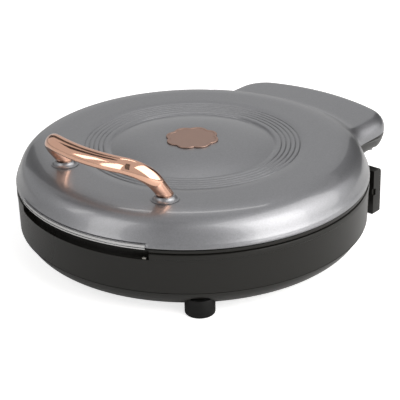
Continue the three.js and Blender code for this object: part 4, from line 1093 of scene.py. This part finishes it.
def inlet_block(inner, outer, border):
    """A block round the power inlet, from one radius to another, wider than the inlet by a border."""
    half_width = INLET_HALF_WIDTH + border
    bm = block((inner, -half_width, INLET_LOW - border), (outer, half_width, INLET_HIGH + border))
    turn = Matrix.Rotation(INLET_BEARING, 3, "Z")
    bmesh.ops.rotate(bm, cent=(0, 0, 0), matrix=turn, verts=bm.verts)
    bmesh.ops.translate(bm, vec=(0, AXIS_Y, 0), verts=bm.verts)
    return bm


class GRIDDLE_OT_base(bpy.types.Operator):
    """Make the black drum with its notch, rear housing and inlet seat"""
    bl_idname = "griddle.base"
    bl_label = "Base drum"

    def execute(self, context):
        self.make_drum()
        self.make_ring()
        self.make_lens()
        return {"FINISHED"}

    def make_drum(self):
        """The drum joined with its housing and inlet pad, with all its openings cut."""
        stand = combined(stand_solid(), drum_space(), "DIFFERENCE")
        bm = combined(spun(drum_section()), stand, "UNION")
        bm = combined(bm, notch_space(), "DIFFERENCE")
        for orbit, bearing in FOOT_PLACES:
            bm = combined(bm, foot_well(orbit, bearing), "DIFFERENCE")
        for make_opening in (yoke_window, clip_recess):
            for sign in (-1, 1):
                bm = combined(bm, make_opening(sign), "DIFFERENCE")
        bm = combined(bm, inlet_block(INLET_PAD_INNER, INLET_PAD_OUTER, INLET_BORDER), "UNION")
        bm = combined(bm, inlet_block(INLET_CUT_INNER, INLET_CUT_OUTER, 0), "DIFFERENCE")
        shade_smooth(bm)
        add_piece("drum", bm, "base_shell", stands_for=["base_shell"])

    def make_ring(self):
        """The black ring between the drum and the lid, open at the front."""
        inner, outer = 151.5 * MM, RING_HIGH.x
        edge = 0.5 * MM
        undercut = 0.9 * MM
        section = [
            (inner, RING_LOW.z), (outer - undercut, RING_LOW.z), (outer, RING_LOW.z + undercut),
            (outer, RING_HIGH.z - edge), (outer - edge, RING_HIGH.z), (inner, RING_HIGH.z)]
        bm = spun(
            section, steps=280, start=FRONT + NOTCH_HALF_ANGLE, turn=FULL_TURN - 2 * NOTCH_HALF_ANGLE)
        shade_smooth(bm)
        add_piece("drum_ring", bm, "base_ring", stands_for=["base_ring"])

    def make_lens(self):
        """A small clear bar on the floor of the front slot, at its right end."""
        width, height, depth = 3.2 * MM, 1.2 * MM, 2.4 * MM
        edge = 0.35 * MM
        end_gap = math.radians(1.6)
        bearing = FRONT + NOTCH_HALF_ANGLE - end_gap
        bm = block((-depth / 2, -width / 2, 0), (depth / 2, width / 2, height))
        bmesh.ops.bevel(
            bm, geom=bm.edges, offset=edge, offset_type="OFFSET", affect="EDGES", segments=3, profile=0.5,
            material=-1)
        turn = Matrix.Rotation(bearing, 3, "Z")
        bmesh.ops.rotate(bm, cent=(0, 0, 0), matrix=turn, verts=bm.verts)
        place = around(BASE_TOP_RADIUS - depth, bearing, BASE_TOP - NOTCH_DROP)
        bmesh.ops.translate(bm, vec=place, verts=bm.verts)
        shade_smooth(bm)
        add_piece("lamp_bar", bm, "indicator_lens", stands_for=["indicator_lens"])


# Feet and the screws that hold them

FOOT_EDGE = 1.6 * MM
FOOT_TOP_BEVEL_HEIGHT = 0.8 * MM
FOOT_TOP_BEVEL_WIDTH = 0.5 * MM
FOOT_RECESS = 4.1 * MM
FOOT_RECESS_DEPTH = 8 * MM
SCREW_HEAD = 3.8 * MM
SCREW_HEAD_LOW = 5.3 * MM
SCREW_HEAD_EDGE = 0.4 * MM
SCREW_SHANK = 2 * MM
SCREW_GAP = 0.3 * MM
SCREW_GRIP = 5 * MM


def foot_section(height):
    bore = SCREW_SHANK + SCREW_GAP
    edge_centre = (FOOT_RADIUS - FOOT_EDGE, FOOT_EDGE)
    return [
        (FOOT_RECESS, 0), *arc(edge_centre, FOOT_EDGE, -QUARTER, 0, 5),
        (FOOT_RADIUS, height - FOOT_TOP_BEVEL_HEIGHT), (FOOT_RADIUS - FOOT_TOP_BEVEL_WIDTH, height),
        (bore, height), (bore, FOOT_RECESS_DEPTH), (FOOT_RECESS, FOOT_RECESS_DEPTH)]


def foot_screw_section(height):
    head_top, tip = FOOT_RECESS_DEPTH - SCREW_GAP, height + SCREW_GRIP
    return [
        (0, SCREW_HEAD_LOW), (SCREW_HEAD - SCREW_HEAD_EDGE, SCREW_HEAD_LOW),
        (SCREW_HEAD, SCREW_HEAD_LOW + SCREW_HEAD_EDGE), (SCREW_HEAD, head_top), (SCREW_SHANK, head_top),
        (SCREW_SHANK, tip), (0, tip)]


class GRIDDLE_OT_feet(bpy.types.Operator):
    """Make the four round rubber feet and their screws"""
    bl_idname = "griddle.feet"
    bl_label = "Feet"

    def execute(self, context):
        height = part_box("foot_1")[1].z
        kinds = (
            ("round_foot", "foot", foot_section(height)),
            ("foot_pin", "foot_screw", foot_screw_section(height)))
        for number, (orbit, bearing) in enumerate(FOOT_PLACES, start=1):
            for name, node, section in kinds:
                bm = spun(section, steps=SMALL_STEPS, centre=around(orbit, bearing, 0))
                shade_smooth(bm)
                add_piece(f"{name}_{number}", bm, f"{node}_{number}", stands_for=[f"{node}_{number}"])
        return {"FINISHED"}


# Cooking plates and the ring that holds the upper one

LOWER_PLATE_DEPTH = 23 * MM
LOWER_PLATE_CORNER = 3 * MM
UPPER_PLATE_DEPTH = 6.5 * MM
UPPER_PLATE_CORNER = 1.5 * MM
PLATE_THICKNESS = 3.6 * MM
PLATE_FLOOR_RADIUS = 132 * MM
PLATE_MOUTH_RADIUS = 143 * MM
PLATE_BACK_FLOOR_RADIUS = PLATE_FLOOR_RADIUS + 1.5 * MM
PLATE_BACK_MOUTH_RADIUS = PLATE_MOUTH_RADIUS + 3 * MM
FLANGE_RADIUS = 150 * MM
FLANGE_THICKNESS = 2 * MM
FLANGE_EDGE = 0.4 * MM
PLATE_STEPS = 220

# The rolled mouth of a plate: how far outside the mouth's radius and how high each point is
PLATE_MOUTH_SHAPE = ((0.8 * MM, 0), (0.2 * MM, -0.25 * MM), (-0.4 * MM, -1 * MM))

# The soft corner between wall and floor, as shares of its size
PLATE_CORNER_SHAPE = ((0.45, 0.75), (0, 0.2), (-1, 0))


def plate_section(depth, corner):
    """A cooking plate's section, cooking side up, with the top of its flange at zero."""
    back = -depth - PLATE_THICKNESS
    mouth = [(PLATE_MOUTH_RADIUS + out, height) for out, height in PLATE_MOUTH_SHAPE]
    floor_edge = [(PLATE_FLOOR_RADIUS + corner * out, -depth + corner * up) for out, up in PLATE_CORNER_SHAPE]
    return [
        (0, back), (PLATE_BACK_FLOOR_RADIUS, back), (PLATE_BACK_MOUTH_RADIUS, -FLANGE_THICKNESS),
        (FLANGE_RADIUS, -FLANGE_THICKNESS), (FLANGE_RADIUS, -FLANGE_EDGE), (FLANGE_RADIUS - FLANGE_EDGE, 0),
        *mouth, *floor_edge, (0, -depth)]


def plate_ring_section():
    """The ring under the lid, stepped to clasp the upper plate's flange."""
    low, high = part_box("upper_plate_ring")
    inner, flange_inner = 150.8 * MM, 146.8 * MM
    step = low.z + 0.8 * MM
    edge = 0.3 * MM
    return [
        (inner, low.z + edge), (inner + edge, low.z), (high.x, low.z), (high.x, high.z),
        (flange_inner, high.z), (flange_inner, step), (inner, step)]


class GRIDDLE_OT_plates(bpy.types.Operator):
    """Make the two cooking plates and the ring that holds the upper one"""
    bl_idname = "griddle.plates"
    bl_label = "Cooking plates"

    def execute(self, context):
        lower = plate_section(LOWER_PLATE_DEPTH, LOWER_PLATE_CORNER)
        upper = plate_section(UPPER_PLATE_DEPTH, UPPER_PLATE_CORNER)
        upper = [(radius, -height) for radius, height in upper]
        for name, node, section, lift in (
            ("deep_plate", "lower_plate", lower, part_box("lower_plate")[1].z),
            ("shallow_plate", "upper_plate", upper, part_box("upper_plate")[0].z),
            ("plate_ring", "upper_plate_ring", plate_ring_section(), 0),
        ):
            bm = spun(section, steps=PLATE_STEPS, lift=lift)
            shade_smooth(bm)
            add_piece(name, bm, node, stands_for=[node])
        return {"FINISHED"}


# Pieces whose CAD shape is kept, with softened edges where they show

TRAY_END_DEPTH = 6.5 * MM
TRAY_THINNEST = 0.03


def thin_tray_ends(bm):
    """Draws the ends of the wing's tray up under the wing, as wedges that thin toward the drum."""
    steps = 6
    for sign in (-1, 1):
        for i in range(steps + 1):
            cut = Vector((sign * (WING_DEEP_HALF + WING_RISE_WIDTH * i / steps), 0, 0))
            bmesh.ops.bisect_plane(
                bm, geom=bm.verts[:] + bm.edges[:] + bm.faces[:], plane_co=cut, plane_no=(1, 0, 0))
    tray_low, tray_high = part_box("wing_cover")
    lift = WING_END_BOTTOM - WING_BOTTOM
    wedge_length = WING_REAR - SKIRT_INNER - WING_EDGE
    for vert in bm.verts:
        share = float(end_share(vert.co.x))
        outward = (math.hypot(vert.co.x, vert.co.y - AXIS_Y) - SKIRT_INNER) / wedge_length
        depth = (tray_high.z - vert.co.z) / (tray_high.z - tray_low.z)
        target = tray_high.z + lift - depth * TRAY_END_DEPTH * min(max(outward, TRAY_THINNEST), 1)
        vert.co.z += (target - vert.co.z) * share


class GRIDDLE_OT_fittings(bpy.types.Operator):
    """Finish the wing cover, inlet, hinge and hidden parts"""
    bl_idname = "griddle.fittings"
    bl_label = "Fittings"

    def execute(self, context):
        for name, node, edge_width in (
            ("inlet_socket", "power_inlet", 0.4 * MM),
            ("yoke", "hinge_yoke", 0.4 * MM),
            ("bracket_left", "lid_hinge_bracket_left", 0.3 * MM),
            ("bracket_right", "lid_hinge_bracket_right", 0.3 * MM),
            ("vented_cover", "bottom_cover", 0.2 * MM),
        ):
            softened_copy(name, node, edge_width)
        softened_copy("wing_tray", "wing_cover", 0.15 * MM, reshape=thin_tray_ends)
        for node, shown in frame["nodes"].items():
            shown.data.materials.clear()
            shown.data.materials.append(finish_of(SLOT_OF_NODE[node]))
        return {"FINISHED"}


# Studio

CAMERA_AZIMUTH = math.radians(41)
CAMERA_ELEVATION = math.radians(24.01)
CAMERA_DISTANCE = 1.274
CAMERA_ROLL = math.radians(1.27)
CAMERA_FOCAL_PIXELS = 1400
IMAGE_SIZE = 400
SENSOR = 36.0
VIEW_CENTRE = (192.8, 169.5)
LAMP_COLOUR = (1, 0.985, 0.96)
WORLD_LIGHT = 0.3
WORLD_MIRRORED = 0.6
FLOOR_TONE = 0.82
FLOOR_ROUGHNESS = 0.9
FLOOR_SEEN = 0.7
FLOOR_REACH = 6.0


def add_camera():
    data = bpy.data.cameras.new("camera")
    data.sensor_width = SENSOR
    data.lens = CAMERA_FOCAL_PIXELS / IMAGE_SIZE * SENSOR
    data.shift_x = (IMAGE_SIZE / 2 - VIEW_CENTRE[0]) / IMAGE_SIZE
    data.shift_y = -(IMAGE_SIZE / 2 - VIEW_CENTRE[1]) / IMAGE_SIZE
    camera = bpy.data.objects.new("camera", data)
    bpy.context.scene.collection.objects.link(camera)
    back = Vector((
        math.sin(CAMERA_AZIMUTH) * math.cos(CAMERA_ELEVATION),
        -math.cos(CAMERA_AZIMUTH) * math.cos(CAMERA_ELEVATION),
        math.sin(CAMERA_ELEVATION)))
    camera.location = Vector((0, AXIS_Y, RIM_Z)) + back * CAMERA_DISTANCE
    camera.rotation_mode = "QUATERNION"
    camera.rotation_quaternion = (
        (-back).to_track_quat("-Z", "Y") @ Quaternion((0, 0, 1), -CAMERA_ROLL))
    bpy.context.scene.camera = camera


def set_in_studio(thing, bearing, elevation, distance):
    """Places a lamp or card so that it faces the griddle; bearing is degrees to the camera's right."""
    bpy.context.scene.collection.objects.link(thing)
    turn = CAMERA_AZIMUTH + math.radians(bearing)
    rise = math.radians(elevation)
    back = Vector((math.sin(turn) * math.cos(rise), -math.cos(turn) * math.cos(rise), math.sin(rise)))
    thing.location = Vector((0, AXIS_Y, RIM_Z)) + back * distance
    thing.rotation_mode = "QUATERNION"
    thing.rotation_quaternion = (-back).to_track_quat("-Z", "Y")


def add_lamp(name, bearing, elevation, distance, size, power):
    data = bpy.data.lights.new(name, "AREA")
    data.shape = "RECTANGLE"
    data.size, data.size_y = size
    data.energy = power
    data.color = LAMP_COLOUR
    set_in_studio(bpy.data.objects.new(name, data), bearing, elevation, distance)


def add_card(name, bearing, elevation, distance, size, tone):
    """A dark card that only reflections show."""
    bm = bmesh.new()
    bmesh.ops.create_grid(bm, x_segments=1, y_segments=1, size=0.5)
    bmesh.ops.scale(bm, vec=(size[0], size[1], 1), verts=bm.verts)
    mesh = bpy.data.meshes.new(name)
    bm.to_mesh(mesh)
    bm.free()
    card = bpy.data.objects.new(name, mesh)
    set_in_studio(card, bearing, elevation, distance)
    card.visible_camera = False
    card.visible_diffuse = False
    card.visible_transmission = False
    card.visible_shadow = False
    material = bpy.data.materials.new(name)
    material.use_nodes = True
    shader = material.node_tree.nodes["Principled BSDF"]
    shader.inputs["Base Color"].default_value = (tone, tone, tone, 1)
    shader.inputs["Roughness"].default_value = 1.0
    mesh.materials.append(material)


def level_by_ray(nodes, link, carried, mirrored, seen):
    """One strength for rays that carry light, one for reflections and one for what the camera sees."""
    path = nodes.new("ShaderNodeLightPath")
    bounced = nodes.new("ShaderNodeMath")
    bounced.operation = "MAXIMUM"
    link(path.outputs["Is Glossy Ray"], bounced.inputs[0])
    link(path.outputs["Is Transmission Ray"], bounced.inputs[1])
    unseen = nodes.new("ShaderNodeMapRange")
    unseen.inputs["To Min"].default_value = carried
    unseen.inputs["To Max"].default_value = mirrored
    link(bounced.outputs[0], unseen.inputs["Value"])
    level = nodes.new("ShaderNodeMapRange")
    level.inputs["To Max"].default_value = seen
    link(path.outputs["Is Camera Ray"], level.inputs["Value"])
    link(unseen.outputs["Result"], level.inputs["To Min"])
    return level.outputs["Result"]


def add_world():
    world = bpy.data.worlds.new("studio")
    bpy.context.scene.world = world
    world.use_nodes = True
    nodes, link = world.node_tree.nodes, world.node_tree.links.new
    background = nodes["Background"]
    background.inputs["Color"].default_value = (1, 1, 1, 1)
    link(level_by_ray(nodes, link, WORLD_LIGHT, WORLD_MIRRORED, 1.0), background.inputs["Strength"])


def add_floor():
    bm = bmesh.new()
    bmesh.ops.create_grid(bm, x_segments=8, y_segments=8, size=FLOOR_REACH)
    mesh = bpy.data.meshes.new("floor")
    bm.to_mesh(mesh)
    bm.free()
    floor = bpy.data.objects.new("floor", mesh)
    bpy.context.scene.collection.objects.link(floor)
    material = bpy.data.materials.new("studio_floor")
    material.use_nodes = True
    nodes, link = material.node_tree.nodes, material.node_tree.links.new
    shader = nodes["Principled BSDF"]
    shader.inputs["Base Color"].default_value = (FLOOR_TONE, FLOOR_TONE, FLOOR_TONE, 1)
    shader.inputs["Roughness"].default_value = FLOOR_ROUGHNESS
    shader.inputs["Emission Color"].default_value = (1, 1, 1, 1)
    link(level_by_ray(nodes, link, 0.0, 0.0, FLOOR_SEEN), shader.inputs["Emission Strength"])
    mesh.materials.append(material)


class GRIDDLE_OT_stage(bpy.types.Operator):
    """Make the floor, lamps, background and camera"""
    bl_idname = "griddle.stage"
    bl_label = "Studio"

    def execute(self, context):
        context.scene.view_settings.view_transform = "Standard"
        add_floor()
        add_world()
        add_lamp("right_softbox", bearing=66, elevation=34, distance=1.3, size=(1.9, 1.6), power=19.0)
        add_lamp("right_core", bearing=53, elevation=24, distance=1.28, size=(0.8, 0.8), power=5.6)
        add_lamp("left_softbox", bearing=-54, elevation=25, distance=1.3, size=(0.5, 1.1), power=3.5)
        add_lamp("left_strip", bearing=-82, elevation=33, distance=1.3, size=(0.2, 0.6), power=0.8)
        add_lamp("rear_strip", bearing=180, elevation=60, distance=1.3, size=(0.7, 0.14), power=1.0)
        add_card("right_card", bearing=138, elevation=14, distance=1.25, size=(0.76, 0.95), tone=0.04)
        add_card("right_patch", bearing=120, elevation=37, distance=1.24, size=(0.22, 0.3), tone=0.02)
        add_card("left_card", bearing=-147, elevation=30, distance=1.25, size=(0.35, 1.2), tone=0.1)
        add_card("left_edge_card", bearing=-112, elevation=50, distance=1.24, size=(0.28, 0.5), tone=0.05)
        add_card("front_card", bearing=-22, elevation=45, distance=1.24, size=(0.3, 1.2), tone=0.15)
        add_camera()
        return {"FINISHED"}


OPERATORS = (
    GRIDDLE_OT_finishes, GRIDDLE_OT_lid, GRIDDLE_OT_medallion, GRIDDLE_OT_handle, GRIDDLE_OT_trim,
    GRIDDLE_OT_base, GRIDDLE_OT_feet, GRIDDLE_OT_plates, GRIDDLE_OT_fittings, GRIDDLE_OT_stage,
)


class GRIDDLE_PT_panel(bpy.types.Panel):
    """Lists the griddle's pieces and settings"""
    bl_idname = "GRIDDLE_PT_panel"
    bl_label = "Double-sided griddle"
    bl_space_type = "VIEW_3D"
    bl_region_type = "UI"
    bl_category = "Griddle"

    def draw(self, context):
        layout = self.layout
        for operator in OPERATORS:
            layout.operator(operator.bl_idname)
        scene = context.scene
        for settings in (scene.griddle_lid, scene.griddle_handle, scene.griddle_colours):
            box = layout.box()
            for name in settings.__annotations__:
                box.prop(settings, name)


CLASSES = (LidSizes, HandleSizes, FinishColours, *OPERATORS, GRIDDLE_PT_panel)


def register():
    for each in CLASSES:
        bpy.utils.register_class(each)
    bpy.types.Scene.griddle_lid = PointerProperty(type=LidSizes)
    bpy.types.Scene.griddle_handle = PointerProperty(type=HandleSizes)
    bpy.types.Scene.griddle_colours = PointerProperty(type=FinishColours)


def unregister():
    for name in ("griddle_lid", "griddle_handle", "griddle_colours"):
        delattr(bpy.types.Scene, name)
    for each in reversed(CLASSES):
        bpy.utils.unregister_class(each)


def main():
    register()
    for operator in OPERATORS:
        category, name = operator.bl_idname.split(".")
        getattr(getattr(bpy.ops, category), name)()


if __name__ == "__main__":
    main()
